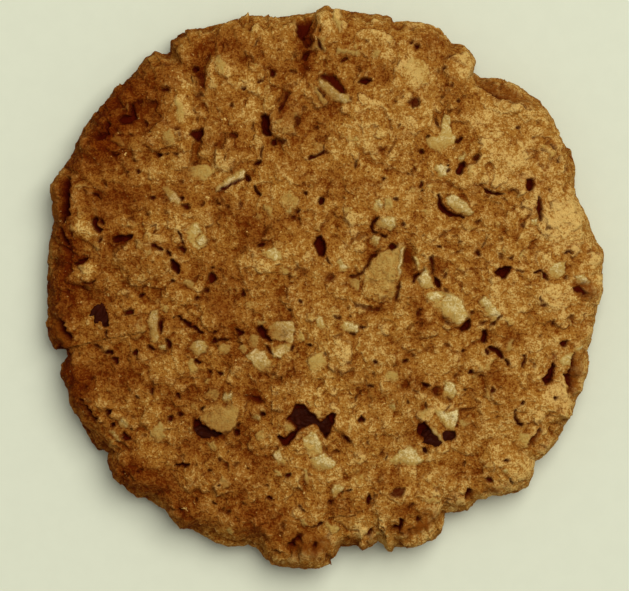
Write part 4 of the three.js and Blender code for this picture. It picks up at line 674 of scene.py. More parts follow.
class Skin:
    """The relief and the shades of the dough's skin. The top lies at its own place in the sheet, and
    the side goes on outwards from it, down to the foot."""

    def __init__(self, sizes):
        count = int(2 * SHEET_REACH / CELL) + 1
        line = np.linspace(-SHEET_REACH, SHEET_REACH, count)
        self.x, self.y = np.meshgrid(line, line)
        self.random = np.random.default_rng(sizes.seed)
        self.bent_x = self.x + self.bend(0.45, 3.1, 71) + self.bend(0.25, 1.3, 72)
        self.bent_y = self.y + self.bend(0.45, 3.1, 81) + self.bend(0.25, 1.3, 82)
        self.rough_x = self.x + self.bend(0.18, 1.5, 73) + self.bend(0.20, 0.7, 74)
        self.rough_y = self.y + self.bend(0.18, 1.5, 83) + self.bend(0.20, 0.7, 84)
        # The crease sheet and the foot-of-edge sheet say where shade is painted: in creases between loose
        # clods and along the feet of edges that stand proud.
        self.rise, self.carved, self.crease, self.seam = (np.zeros_like(self.x) for _ in range(4))
        self.pale, self.smooth, self.tone, self.ledge = (np.zeros_like(self.x) for _ in range(4))
        self.grain, self.toast = (np.full_like(self.x, 0.5) for _ in range(2))

    def bend(self, amount, size, seed):
        """How far to shift each point, so that every outline in the skin is uneven."""
        return amount * rolling(self.x, self.y, size, seed)

    def window(self, x, y, reach):
        """The part of the sheet near a point, and the distances from that point in it."""
        low = [max(0, int((c - reach + SHEET_REACH) / CELL)) for c in (y, x)]
        high = [max(0, int((c + reach + SHEET_REACH) / CELL) + 2) for c in (y, x)]
        part = (slice(low[0], high[0]), slice(low[1], high[1]))
        return part, self.rough_x[part] - x, self.rough_y[part] - y

    def at(self, values, x, y):
        """`values` of the sheet at points, straight between its cells."""
        u = np.clip((np.asarray(x) + SHEET_REACH) / CELL, 0, values.shape[1] - 1.001)
        v = np.clip((np.asarray(y) + SHEET_REACH) / CELL, 0, values.shape[0] - 1.001)
        col, row = u.astype(int), v.astype(int)
        u, v = u - col, v - row
        low = values[row, col] * (1 - u) + values[row, col + 1] * u
        high = values[row + 1, col] * (1 - u) + values[row + 1, col + 1] * u
        return low * (1 - v) + high * v

    def over(self, oval, reach=1.0):
        """The part of the sheet round an oval, and how far out in it each point is: 1 at its edge."""
        part, east, north = self.window(oval.x, oval.y, oval.long * reach + 0.5)
        along, across = turned(east, north, oval.turn)
        return part, along, across, np.hypot(along / (oval.long / 2), across / (oval.wide / 2))

    def add(self, values, oval, steep, reach=1.0):
        """Adds an oval with a soft edge to `values` of the sheet."""
        part, _, _, out = self.over(oval, reach)
        values[part] += oval.amount * np.exp(-out ** steep)

    def wobble(self, bearing, amount):
        """A ragged outline: a share of the radius at each bearing."""
        share = np.ones_like(bearing)
        for waves in (2, 3, 5, 8, 13):
            phase = self.random.uniform(0, 2 * math.pi)
            height = amount * self.random.uniform(0.4, 1.0) / math.sqrt(waves)
            share += height * np.cos(waves * bearing + phase)
        return share

    def plate_edge(self, along, across, long, wide):
        """How far each point is past the edge of a broken plate with a few straight sides."""
        sides = self.random.integers(4, 7)
        first = self.random.uniform(0, 2 * math.pi)
        past = np.full_like(along, -99.0)
        for side in range(sides):
            way = first + (side + self.random.uniform(-0.25, 0.25)) * 2 * math.pi / sides
            ahead, aside = math.cos(way), math.sin(way)
            reach = self.random.uniform(0.7, 1.0) * math.hypot(ahead * long / 2, aside * wide / 2)
            past = np.maximum(past, along * ahead + across * aside - reach)
        return past

    def line_foot_shadow(self, part, past, proud):
        """Paints a line of shadow along the foot of an edge that stands proud."""
        line = proud * np.exp(-((past - 0.08) / 0.10) ** 2)
        self.seam[part] = np.maximum(self.seam[part] * step(-0.02, 0.06, past), line)

    def lay(self, oat, tone):
        """Beds one plate in the dough: its raised end stands out and its low end sinks in."""
        part, along, across, _ = self.over(oat, 0.8)
        past = self.plate_edge(along, across, oat.long, oat.wide)
        level = float(self.at(self.rise, oat.x, oat.y)) + oat.rise
        slab = level + along * math.tan(math.radians(oat.lean)) - 0.05 * across ** 2
        proud = step(0.08, 0.40, slab - self.rise[part])
        slab = slab - STEEP * np.maximum(past, 0) - 0.06 * np.exp(np.minimum(past, 0) / 0.15)
        above = slab - self.rise[part]
        self.rise[part] = np.maximum(self.rise[part], slab)
        covers = step(0.0, 0.06, above) * step(0.08, -0.04, past)
        self.tone[part] += covers * (tone - self.tone[part])
        self.pale[part] += covers * (oat.pale * step(0.0, 0.25, above) - self.pale[part])
        self.line_foot_shadow(part, past, proud)

    def beside(self, corners, margin):
        """The part of the sheet round some corners, and how far past their outline each point is."""
        corners = np.array(corners)
        x, y = (corners.min(axis=0) + corners.max(axis=0)) / 2
        part, east, north = self.window(x, y, np.ptp(corners, axis=0).max() / 2 + margin)
        inside = np.zeros(east.shape, dtype=bool)
        near = np.full_like(east, 99.0)
        for (ax, ay), (bx, by) in zip(corners, np.roll(corners, -1, axis=0)):
            px, py, ex, ey = east + x - ax, north + y - ay, bx - ax, by - ay
            share = np.clip((px * ex + py * ey) / (ex * ex + ey * ey), 0, 1)
            near = np.minimum(near, np.hypot(px - share * ex, py - share * ey))
            crosses = (ay > north + y) != (by > north + y)
            inside ^= crosses & (px * ey < py * ex if ey > 0 else px * ey > py * ex)
        return part, np.where(inside, -near, near), east, north

    def lay_flake(self, flake, level):
        """Beds an oat by its corners. One edge stands out, and the dough covers the other."""
        part, past, east, north = self.beside(flake.corners, 1.6)
        past = past + 0.10 * rolling(self.x[part], self.y[part], 0.45, 12)
        along, _ = turned(east, north, flake.up)
        within = past < 0
        along = along - along[within].mean()
        half = np.abs(along[within]).max()
        slab = level[part][within].mean() - 0.05 + flake.rise * (along / half + 1) / 2
        proud = step(0.10, 0.45, slab - self.rise[part])
        press = np.clip(self.rise[part] - slab + 0.12, 0, 0.5)
        pressed = self.rise[part] - press * step(0.8, 0.1, past)
        slab = slab - STEEP * np.maximum(past, 0) - 0.08 * np.exp(np.minimum(past, 0) / 0.15)
        slab = slab + 0.4 * (self.rise[part] - level[part])
        cover = step(0.08, -0.08, past)
        self.rise[part] = np.maximum(pressed, slab) * (1 - cover) + slab * cover
        shown = step(0.16, -0.08, past) * step(-1.5 * half, 0.2 * half, along)
        self.pale[part] = np.maximum(self.pale[part] * (1 - step(0.3, 0.0, past)), flake.pale * shown)
        self.tone[part] *= 1 - shown
        self.smooth[part] = np.maximum(self.smooth[part], shown)
        self.line_foot_shadow(part, past, proud)

    def open_gap(self, gap):
        """Opens the dough inside a gap's corners."""
        part, past, _, _ = self.beside(gap.corners, 0.8)
        self.carved[part] = np.maximum(self.carved[part], gap.depth * step(0.12, -0.24, past))

    def carve(self, hole, ragged=0.22):
        """Opens a small pit with a ragged edge."""
        part, along, across, out = self.over(hole, 0.8)
        out = out / self.wobble(np.arctan2(across / hole.wide, along / hole.long), ragged)
        past = (out - 1) * min(hole.long, hole.wide) / 2
        depth = hole.depth * step(0.10, -0.14, past)
        self.carved[part] = np.maximum(self.carved[part], depth)

    def crack(self, crack):
        """Opens a crack that narrows towards both of its ends."""
        points = []
        for (ax, ay), (bx, by) in zip(crack.path, crack.path[1:]):
            count = max(2, int(math.hypot(bx - ax, by - ay) / 0.12))
            points += [(ax + (bx - ax) * k / count, ay + (by - ay) * k / count) for k in range(count + 1)]
        middle = np.mean(points, axis=0)
        reach = max(math.dist(middle, p) for p in points) + 1.2
        part, east, north = self.window(middle[0], middle[1], reach)
        near = np.full_like(east, 99.0)
        for k, (px, py) in enumerate(points):
            ends = min(k, len(points) - 1 - k) / max(1, len(points) - 1) * 2
            width = crack.width / 2 * (0.45 + 0.55 * min(1, ends * 2.2))
            away = np.hypot(east + middle[0] - px, north + middle[1] - py) - width
            near = np.minimum(near, away)
        near = near + 0.10 * rolling(self.x[part], self.y[part], 0.55, 11)
        self.carved[part] = np.maximum(self.carved[part], crack.depth * step(0.08, -0.12, near))

    def scatter(self, count):
        """Evenly random places on the sheet."""
        for _ in range(count):
            out = STREWN_REACH * math.sqrt(self.random.random())
            bearing = self.random.uniform(0, 2 * math.pi)
            yield out * math.cos(bearing), out * math.sin(bearing)

    def strew(self, count, long, wide, lean, rise, pale, rarely, tone):
        """Beds random oats in the dough. The higher `rarely` is, the fewer of them are pale."""
        random = self.random
        for x, y in self.scatter(count):
            oat = Oat(x, y, random.uniform(*long), random.uniform(*wide), random.uniform(0, 360),
                      random.uniform(*lean), random.uniform(*rise), pale * random.random() ** rarely)
            self.lay(oat, random.uniform(*tone))


def rising(skin, sizes):
    """The soft lumps of the dough, before anything shows in it."""
    x, y, swell = skin.x, skin.y, sizes.swell / MM
    skin.rise += swell * rolling(x, y, 8.5, 3) + 0.75 * swell * rolling(x, y, 4.6, 4)
    lumps = list(SWELLINGS)
    for bearing, down, long, wide, out in RIM_LUMPS:
        angle = math.radians(bearing)
        reach = sizes.mean_radius / MM - sizes.shoulder_inset / MM + down
        lumps.append(Oval(reach * math.cos(angle), reach * math.sin(angle), long, wide, bearing + 90, out))
    for raisin in RAISINS:
        lumps.append(Oval(raisin.x, raisin.y, raisin.long + 2, raisin.wide + 2, raisin.turn, 0.15))
    for lump in lumps:
        skin.add(skin.rise, lump, 4)


def crumble(skin, sizes):
    """Breaks the dough into clods of two sizes, each a little higher, lower or tilted. Where it is
    loose they stand apart, with shade painted into the creases between them, and a few torn-open gaps."""
    rise = sizes.clods / MM
    for size, share, width, seed in ((5.2, 0.75, 0.26, 41), (2.1, 0.6, 0.20, 51)):
        inward, kind, slope = clods(skin.bent_x, skin.bent_y, size, seed)
        loose = step(-0.1, 0.6, rolling(skin.x, skin.y, size * 1.7, seed + 3))
        dome = np.sqrt(np.minimum(inward / size * 2.5, 1)) - 0.8
        skin.rise += rise * share * (1.2 * (kind - 0.5) + 2.0 * slope + dome * loose)
        torn = loose * step(0.15, 0.5, rolling(skin.x, skin.y, 1.3, seed + 2))
        skin.carved = np.maximum(skin.carved, 0.7 * share * torn * step(width, 0.02, inward))
        # Where shade is painted in the creases between loose clods.
        skin.crease = np.maximum(skin.crease, loose * step(width * 1.6, 0.0, inward))


def bed_oats(skin, sizes):
    """Large oats show softly under the dough, with painted shadow along the foot of an edge that stands
    proud.
    Broken bits of oat and the listed oats lie on them."""
    skin.strew(sizes.buried_oats, (3.0, 7.0), (2.2, 4.6), (2, 9), (-0.12, 0.22), 0.22, 1, (-0.08, 0.08))
    skin.rise = blur(skin.rise, 0.10)
    skin.strew(sizes.loose_oats, (0.8, 2.8), (0.7, 1.7), (3, 16), (-0.02, 0.20), 0.65, 3, (-0.08, 0.13))
    level = blur(skin.rise, 1.2)
    for flake in FLAKES:
        skin.lay_flake(flake, level)


def open_skin(skin, sizes):
    """Pits, cracks, gaps, and the openings over the raisins."""
    random = skin.random
    for gap in GAPS + RAISIN_OPENINGS:
        skin.open_gap(gap)
    for hole in HOLES:
        skin.carve(hole)
    for crack in CRACKS:
        skin.crack(crack)
    for x, y in skin.scatter(sizes.pin_holes):
        size = random.uniform(0.22, 0.5)
        skin.carve(Hole(x, y, size * random.uniform(1, 3), size, random.uniform(0, 360),
                        random.uniform(0.15, 0.6)), ragged=0.4)


def heap_grains(skin, sizes):
    """Round grains of three sizes, heaped against each other, each with a tone of its own,
    with painted light on its top and painted shade round its edge.
    """
    for size, share, seed in ((1.5, 0.3, 21), (0.85, 0.7, 23), (0.5, 0.8, 25)):
        east, north = skin.bend(0.25 * size, size, seed), skin.bend(0.25 * size, size, seed + 1)
        inward, kind, _ = clods(skin.x + east, skin.y + north, size, seed)
        dome = np.sqrt(np.minimum(inward / size * 3, 1)) + 0.9 * (kind - 0.5)
        skin.rise += sizes.grit / MM * share * dome * (1 - 0.4 * skin.smooth)
        # Each grain's own tone, plus painted light on its domed top and painted shade round its edge.
        skin.grain += 0.4 * share * (kind - 0.5) + 0.12 * share * (dome - 0.8)


def shade(skin):
    """Where the dough is pale, browned and red, and where shade is painted into its pits, hollows
    and creases and along the feet of raised edges.
    """
    flaky = rolling(skin.x, skin.y, 1.2, 91) + 0.6 * rolling(skin.x, skin.y, 0.5, 92)
    dusted = step(-1.9, -0.3, flaky + 1.2 * skin.ridge)
    skin.pale *= step(-1.0, 0.7, flaky + 1.2 * skin.ridge) * (1 - skin.smooth) + dusted * skin.smooth
    # Painted shade: dark at the bottom of pits, cracks and gaps, and faintly along the feet of raised
    # edges.
    skin.pit = np.maximum(step(0.15, 0.85, skin.carved), 0.25 * skin.seam ** 2)
    # Painted shade in the hollows of the relief, in the creases between loose clods, along the feet of
    # raised edges and spreading round pits and cracks.
    hollow = step(0.05, -0.55, skin.ridge)
    brown = 0.3 * skin.crease * (1 - skin.smooth) + 0.25 * hollow + 0.4 * skin.seam
    skin.blush = np.clip(1.2 * blur(skin.carved, 0.30) + brown, 0, 1)
    skin.grain += skin.tone
    for ledge in LEDGES:
        skin.add(skin.ledge, ledge, 3)
    skin.ledge *= step(-1.3, 0.2, flaky)
    skin.toast += 0.2 * rolling(skin.x, skin.y, 13, 31) + 0.2 * rolling(skin.x, skin.y, 5, 32)
    # Some of these places paint light onto swellings and shade into hollows of the top.
    for tone in TOAST_LIGHT_AND_SHADE:
        skin.add(skin.toast, tone, 3, 1.2)


def make_skin(sizes):
    """The finished skin of the dough."""
    skin = Skin(sizes)
    rising(skin, sizes)
    crumble(skin, sizes)
    bed_oats(skin, sizes)
    open_skin(skin, sizes)
    heap_grains(skin, sizes)
    skin.rise -= skin.rise[np.hypot(skin.x, skin.y) < SKIN_REACH].mean()
    skin.ridge = skin.rise - blur(skin.rise, 1.1)
    skin.rise -= CUT * skin.carved
    shade(skin)
    return skin


# ------------------------------------------------------------------ meshes

STEPS = 440                     # across the top of the dough
SIDE_STEPS = 44                 # from the shoulder down to the foot
ROLL_SHARE = 0.66               # of those steps, down to the widest point
TOP_COUNT = (STEPS + 1) ** 2    # points in the top
RING_COUNT = 4 * STEPS          # points in each row of the side
DOME_POWER = 2.6                # how late the flat top starts to fall towards the shoulder
LOBE_FADE = 6                   # how fast the rim's lobes die out towards the middle
BASE_SHARE = 0.992              # of the foot's reach that the underside's outer edge has
LOWEST = 0.02                   # of any point of the dough over the ground
LEFT_SHADE = 0.007              # how much darker each millimetre further left is painted: painted shade on the side away from the light
LOW_TOAST = 0.35                # how much browner the foot is than the top


def square_to_disc(u, v):
    """Distance from the middle and bearing on a disc, for points of a square from -1 to 1."""
    with np.errstate(divide="ignore", invalid="ignore"):
        aside = math.pi / 4 * (v / u) + np.where(u < 0, math.pi, 0)
        ahead = math.pi / 4 * (2 - u / v) + np.where(v < 0, math.pi, 0)
    bearing = np.where(np.abs(u) > np.abs(v), aside, ahead)
    out = np.maximum(np.abs(u), np.abs(v))
    return out, np.where(out == 0, 0, bearing)


def square_points(steps):
    """Points of a square from -1 to 1, row by row."""
    line = np.linspace(-1, 1, steps + 1)
    u, v = np.meshgrid(line, line)
    return u.ravel(), v.ravel()


def square_rim(steps):
    """Point numbers along the edge of a square of points, run round anticlockwise."""
    forward, back = np.arange(steps), np.arange(steps, 0, -1)
    width = steps + 1
    return np.concatenate([forward, forward * width + steps, back + steps * width, back * width])


def square_faces(steps, first):
    """Faces of a square of points that are numbered from `first`."""
    width = steps + 1
    row, column = np.meshgrid(np.arange(steps), np.arange(steps), indexing="ij")
    corner = (row * width + column).ravel() + first
    return np.stack([corner, corner + 1, corner + width + 1, corner + width], axis=1)


def add_piece(name, mesh, material):
    """A smooth object of one mesh, in the scene."""
    mesh.polygons.foreach_set("use_smooth", [True] * len(mesh.polygons))
    mesh.materials.append(material)
    piece = bpy.data.objects.new(name, mesh)
    bpy.context.scene.collection.objects.link(piece)
    return piece


def mesh_object(name, points, faces, material):
    """A smooth object from points in millimetres and lists of faces."""
    mesh = bpy.data.meshes.new(name)
    mesh.from_pydata((np.asarray(points) * MM).tolist(), [], faces)
    mesh.validate()
    return add_piece(name, mesh, material)


def point_normals(mesh):
    """Which way the mesh faces at each of its points."""
    values = np.empty(len(mesh.vertices) * 3)
    mesh.vertex_normals.foreach_get("vector", values)
    return values.reshape(-1, 3)


def paint(mesh, name, red, green, blue, alpha):
    """Stores four shares at each point of a mesh, for its material to mix by."""
    layer = mesh.color_attributes.new(name, "FLOAT_COLOR", "POINT")
    values = np.stack([red, green, blue, alpha], axis=1).astype(np.float32)
    layer.data.foreach_set("color", values.ravel())


def top_height(x, y, sizes):
    """The smooth top of the dough, without its relief."""
    bearing = np.arctan2(y, x)
    edge = rim_radius(bearing, sizes.mean_radius / MM) - sizes.shoulder_inset / MM
    out = np.minimum(np.hypot(x, y) / edge, 1.2)
    fall = out ** DOME_POWER
    return sizes.crown_height / MM * (1 - fall) + sizes.shoulder_height / MM * fall


def dough_top(sizes):
    """Smooth points of the top, and their places on the sheet."""
    mean, inset = sizes.mean_radius / MM, sizes.shoulder_inset / MM
    out, bearing = square_to_disc(*square_points(STEPS))
    rim = rim_radius(bearing, mean)
    reach = (mean - inset) * out + (rim - mean) * out ** LOBE_FADE
    x, y = reach * np.cos(bearing), reach * np.sin(bearing)
    return np.stack([x, y, top_height(x, y, sizes)], axis=1), np.stack([x, y], axis=1) * NEARER


def dough_side(sizes, edge_points):
    """Smooth rows of the side from under the shoulder to the foot, and their places on the sheet."""
    inset, belly, foot = (v / MM for v in (sizes.shoulder_inset, sizes.belly_height, sizes.foot_inset))
    bearing = np.arctan2(edge_points[:, 1], edge_points[:, 0])
    shoulder = np.hypot(edge_points[:, 0], edge_points[:, 1])
    rows, places, down = [], [], np.zeros_like(shoulder)
    reach, height = shoulder, edge_points[:, 2]
    for row in range(1, SIDE_STEPS + 1):
        share = row / SIDE_STEPS
        if share <= ROLL_SHARE:
            roll = share / ROLL_SHARE * math.pi / 2
            new_reach = shoulder + inset * math.sin(roll)
            new_height = belly + (edge_points[:, 2] - belly) * math.cos(roll)
        else:
            under = (share - ROLL_SHARE) / (1 - ROLL_SHARE)
            new_height = np.full_like(shoulder, belly * (1 - under))
            new_reach = shoulder + inset - foot * under ** 2
        down = down + np.hypot(new_reach - reach, new_height - height)
        reach, height = new_reach, new_height
        rows.append(np.stack([reach * np.cos(bearing), reach * np.sin(bearing), height], axis=1))
        place = (shoulder + down) * NEARER
        places.append(np.stack([place * np.cos(bearing), place * np.sin(bearing)], axis=1))
    return np.concatenate(rows), np.concatenate(places)


def dough_base(foot_points):
    """The underside: nearly flat, with a thin rounded lip and small pores."""
    out, bearing = square_to_disc(*square_points(STEPS // 2))
    ring = np.hypot(foot_points[:, 0], foot_points[:, 1])
    foot = round_and_round(bearing, np.arctan2(foot_points[:, 1], foot_points[:, 0]), ring)
    reach = foot * out * BASE_SHARE
    x, y = reach * np.cos(bearing), reach * np.sin(bearing)
    pores = 0.35 * step(0.42, 0.75, rolling(x, y, 1.7, 61)) + 0.5 * step(0.5, 0.8, rolling(x, y, 3.6, 62))
    z = 0.03 + 0.06 * (1 + rolling(x, y, 2.4, 63)) * step(0.0, 0.4, rolling(x, y, 9, 64)) + pores
    return np.stack([x, y, z], axis=1), pores


def dough_faces():
    """Faces that join the top, the side and the underside into one closed skin."""
    base_first = TOP_COUNT + SIDE_STEPS * RING_COUNT
    faces = [square_faces(STEPS, 0)]
    upper = square_rim(STEPS)
    for row in range(SIDE_STEPS):
        lower = TOP_COUNT + row * RING_COUNT + np.arange(RING_COUNT)
        faces.append(np.stack([lower, np.roll(lower, -1), np.roll(upper, -1), upper], axis=1))
        upper = lower
    inner = square_rim(STEPS // 2) + base_first
    inner_next = np.roll(inner, -1)
    here, between, beyond = upper[0::2], upper[1::2], np.roll(upper[0::2], -1)
    for corners in ((here, inner, between), (between, inner, inner_next), (between, inner_next, beyond)):
        faces.append(np.stack(corners, axis=1))
    faces.append(square_faces(STEPS // 2, base_first)[:, ::-1])
    return [face for group in faces for face in group.tolist()]


def trim_rim(points, sizes):
    """Draws the displaced skin in or out, so that its outline is the rim's again."""
    side = points[TOP_COUNT:][:SIDE_STEPS * RING_COUNT].reshape(SIDE_STEPS, RING_COUNT, 3)
    reach = np.hypot(side[..., 0], side[..., 1]).max(axis=0)
    bearing = np.arctan2(side[0, :, 1], side[0, :, 0])
    extra = rim_radius(bearing, sizes.mean_radius / MM) - reach
    out = np.hypot(points[:, 0], points[:, 1])
    shift = round_and_round(np.arctan2(points[:, 1], points[:, 0]), bearing, extra)
    weight = np.minimum(out / (sizes.mean_radius / MM - sizes.shoulder_inset / MM), 1) ** 8
    points[:, :2] *= (1 + shift * weight / np.maximum(out, 1))[:, None]


def make_dough(sizes, material):
    """The whole dough: a smooth closed form with its skin's relief laid on it."""
    skin = make_skin(sizes)
    top, top_places = dough_top(sizes)
    side, side_places = dough_side(sizes, top[square_rim(STEPS)])
    base, pores = dough_base(side[-RING_COUNT:])
    points = np.concatenate([top, side, base])
    piece = mesh_object("cookie_dough", points, dough_faces(), material)
    mesh = piece.data
    places = np.concatenate([top_places, side_places])
    count, x, y = len(places), places[:, 0], places[:, 1]
    rise = skin.at(skin.rise, x, y)
    rise *= step(0.0, 0.9, points[:count, 2]) * 0.97 + 0.03
    points[:count] += point_normals(mesh)[:count] * rise[:, None]
    trim_rim(points, sizes)
    points[:, 2] = np.maximum(points[:, 2], LOWEST)
    mesh.vertices.foreach_set("co", (points * MM).ravel())
    mesh.update()
    shade_dough(mesh, skin, places, points, pores)
    return piece


def shade_dough(mesh, skin, places, points, pores):
    """Stores how pale, browned and red each point is and the painted shade of its pits, then its ridges,
    the painted shade of its hollows and creases, and its grain.
    """
    x, y = places[:, 0], places[:, 1]
    low = step(6.5, 2.0, points[:len(places), 2])

    def whole(shares, under):
        """Shares of the top and side, with those of the underside after them."""
        return np.concatenate([shares, np.broadcast_to(under, len(points) - len(places))])

    # Browner towards the foot, and darker further left: painted shade on the side away from the light.
    toast = skin.at(skin.toast, x, y) + LOW_TOAST * low - LEFT_SHADE * x
    pit, ledge = np.clip(skin.at(skin.pit, x, y), 0, 1), np.clip(0.8 * skin.at(skin.ledge, x, y), 0, 1)
    # The pit share is painted shade at the bottom of pits and in the underside's pores.
    paint(mesh, "bake", whole(skin.at(skin.pale, x, y), 0), whole(pit, step(0.1, 0.6, pores)),
          whole(toast, 1), whole(ledge, 0))
    # The ridge paints light on raised parts and shade in hollows; the second share is painted shade in
    # creases, hollows and round pits.
    paint(mesh, "crust", whole(0.5 + skin.at(skin.ridge, x, y), 0.5), whole(skin.at(skin.blush, x, y), 0),
          whole(skin.at(skin.grain, x, y), 0.5), np.ones(len(points)))


def make_raisin(raisin, material):
    """One shrivelled raisin, in long folds with fine creases between."""
    form = bmesh.new()
    bmesh.ops.create_icosphere(form, subdivisions=6, radius=1.0)
    half = Vector((raisin.long, raisin.wide, raisin.tall)) / 2
    turn = Matrix.Rotation(math.radians(raisin.turn), 4, "Z")
    place = Matrix.Translation((raisin.x, raisin.y, raisin.z)) @ turn
    shift = Vector((raisin.x, raisin.y, 0))
    for vert in form.verts:
        way = vert.co.normalized()
        folds = noise.noise(Vector((way.x * 1.5, way.y * 2.6, way.z * 2.4)) + shift)
        creases = noise.noise(way * 5.0 + shift)
        swell = 1 - 0.12 * (1 - abs(folds) * 2) - 0.05 * (1 - abs(creases) * 2)
        vert.co = place @ (way * half * swell) * MM
    mesh = bpy.data.meshes.new(raisin.node)
    form.to_mesh(mesh)
    form.free()
    return add_piece(raisin.node + "_skin", mesh, material)


# ------------------------------------------------------------------ materials

def fresh_material(name):
    """A new material, its empty node tree, and the place that its patterns go by."""
    material = bpy.data.materials.new(name)
    material.use_nodes = True
    tree = material.node_tree
    tree.nodes.clear()
    return material, tree, wire(tree, "ShaderNodeTexCoord").outputs["Object"]


def wire(tree, kind, values=None, **settings):
    """Adds a node. A value is set on its socket, and a socket is linked to it."""
    node = tree.nodes.new(kind)
    for key, value in settings.items():
        setattr(node, key, value)
    for key, value in (values or {}).items():
        if isinstance(value, bpy.types.NodeSocket):
            tree.links.new(value, node.inputs[key])
        else:
            node.inputs[key].default_value = value
    return node


def finish_material(tree, base, roughness, specular, **more):
    """Joins a material's patterns to its shader."""
    sockets = {"Base Color": base, "Roughness": roughness, "Specular IOR Level": specular, **more}
    shader = wire(tree, "ShaderNodeBsdfPrincipled", sockets)
    wire(tree, "ShaderNodeOutputMaterial", {0: shader.outputs[0]})


def blend_colours(tree, share, first, second, kind="MIX"):
    """Goes from the first colour to the second as `share` goes from 0 to 1."""
    first, second = ((*c, 1) if isinstance(c, tuple) else c for c in (first, second))
    return wire(tree, "ShaderNodeMix", {0: share, 6: first, 7: second}, data_type="RGBA",
                blend_type=kind).outputs[2]


def ramp(tree, value, low, high, to_low=0.0, to_high=1.0):
    """Maps `value` from low..high to to_low..to_high, smoothly and clamped."""
    return wire(tree, "ShaderNodeMapRange", {0: value, 1: low, 2: high, 3: to_low, 4: to_high},
                interpolation_type="SMOOTHSTEP").outputs[0]


def grains(tree, place, size, detail, rough=0.6):
    """Noise with lumps about `size` millimetres across."""
    return wire(tree, "ShaderNodeTexNoise", {"Vector": place, "Scale": 1 / (size * MM),
                                             "Detail": detail, "Roughness": rough}).outputs[0]


def sums(tree, *values):
    """Adds pairs of a socket and its weight."""
    total = None
    for socket, weight in values:
        part = wire(tree, "ShaderNodeMath", {0: socket, 1: weight}, operation="MULTIPLY").outputs[0]
        total = part if total is None else wire(tree, "ShaderNodeMath", {0: total, 1: part}).outputs[0]
    return total


def cells(tree, place, size):
    """Distance from the middle of round cells about `size` millimetres across."""
    cell = wire(tree, "ShaderNodeTexVoronoi", {"Vector": place, "Scale": 1 / (size * MM)})
    return cell.outputs["Distance"]


BROWNING_AND_SHADE = (0.46, 0.19, 0.03)   # what the colour is multiplied by where it has browned most, and for painted shade in creases and hollows


def three_tones(stops, colours):
    """Sets a ramp from browned dough and painted shade in hollows, through plain dough, to pale crumb and
    painted light on raised parts.
    """
    line = stops.color_ramp
    line.interpolation = "EASE"
    line.elements.new(0.5)
    for element, shade in zip(line.elements, (colours.toasted_and_shaded, colours.dough, colours.crumb)):
        element.color = (*shade, 1)
    return stops.outputs[0]


def dough_material(colours):
    """Sandy baked crumb, browned in patches, with pale oats and red-brown edges, and with painted light
    on raised parts and painted shade in pits, creases and hollows.
    """
    material, tree, place = fresh_material("baked_dough")
    bake = wire(tree, "ShaderNodeVertexColor", layer_name="bake")
    pale, pit, toast = wire(tree, "ShaderNodeSeparateColor", {0: bake.outputs["Color"]}).outputs
    crust = wire(tree, "ShaderNodeVertexColor", layer_name="crust")
    ridge, blush, grain = wire(tree, "ShaderNodeSeparateColor", {0: crust.outputs["Color"]}).outputs
    patches = grains(tree, place, 3.2, 4.0)
    sand = cells(tree, place, 0.5)
    dust = grains(tree, place, 0.24, 2.0)
    flecks = grains(tree, place, 0.8, 3.0, 0.7)

    # Besides the dough's own tone, the ridge paints light on raised parts and shade in hollows, and grain
    # and toast carry some painted light and shade.
    tone = sums(tree, (ridge, 0.4), (grain, 0.4), (dust, 1.05), (sand, -0.25), (toast, -0.3))
    base = three_tones(wire(tree, "ShaderNodeValToRGB", {0: ramp(tree, tone, 0.18, 1.10)}), colours)
    streaks = ramp(tree, sums(tree, (flecks, 0.8), (dust, 0.8), (sand, -0.2)), 0.5, 0.95, 0.5, 1.0)
    shows = wire(tree, "ShaderNodeMath", {0: pale, 1: streaks}, operation="MULTIPLY").outputs[0]
    browned = ramp(tree, sums(tree, (toast, 0.7), (patches, 0.5)), 0.4, 1.3)
    for share, shade, kind in (
            (ramp(tree, shows, 0.0, 0.5), colours.bran, "MIX"),
            (ramp(tree, shows, 0.4, 1.0), colours.oat, "MIX"),
            (browned, BROWNING_AND_SHADE, "MULTIPLY"),
            (ramp(tree, flecks, 0.70, 0.78), BROWNING_AND_SHADE, "MULTIPLY"),
            (ramp(tree, flecks, 0.34, 0.27), colours.crumb, "MIX"),
            (bake.outputs["Alpha"], colours.ledge, "MIX"),
            # painted shade in creases, hollows, round pits and along the feet of raised edges
            (blush, BROWNING_AND_SHADE, "MULTIPLY"),
            # painted shade at the bottom of pits, cracks and gaps
            (pit, colours.pit, "MIX")):
        base = blend_colours(tree, share, base, tuple(shade), kind)

    bump = wire(tree, "ShaderNodeBump", {
        "Strength": ramp(tree, pale, 0.1, 0.7, 1.0, 0.4), "Distance": 0.4 * MM,
        "Height": sums(tree, (sand, -0.35), (dust, 0.6))})
    roughness = ramp(tree, dust, 0.3, 0.7, 0.82, 0.98)
    finish_material(tree, base, roughness, 0.02, Normal=bump.outputs[0])
    return material


def raisin_material(colours):
    """Dark wrinkled skin with a dull bloom in patches."""
    material, tree, place = fresh_material("raisin_skin")
    bloom = ramp(tree, grains(tree, place, 1.1, 4.0), 0.5, 0.75, 0, 0.35)
    dull = tuple(min(1, c * 2.4 + 0.001) for c in colours.raisin)
    base = blend_colours(tree, bloom, tuple(colours.raisin), dull)
    fine = grains(tree, place, 0.35, 3.0)
    bump = wire(tree, "ShaderNodeBump", {"Strength": 0.5, "Distance": 0.1 * MM, "Height": fine})
    finish_material(tree, base, ramp(tree, fine, 0.3, 0.7, 0.4, 0.62), 0.02, Normal=bump.outputs[0])
    return material


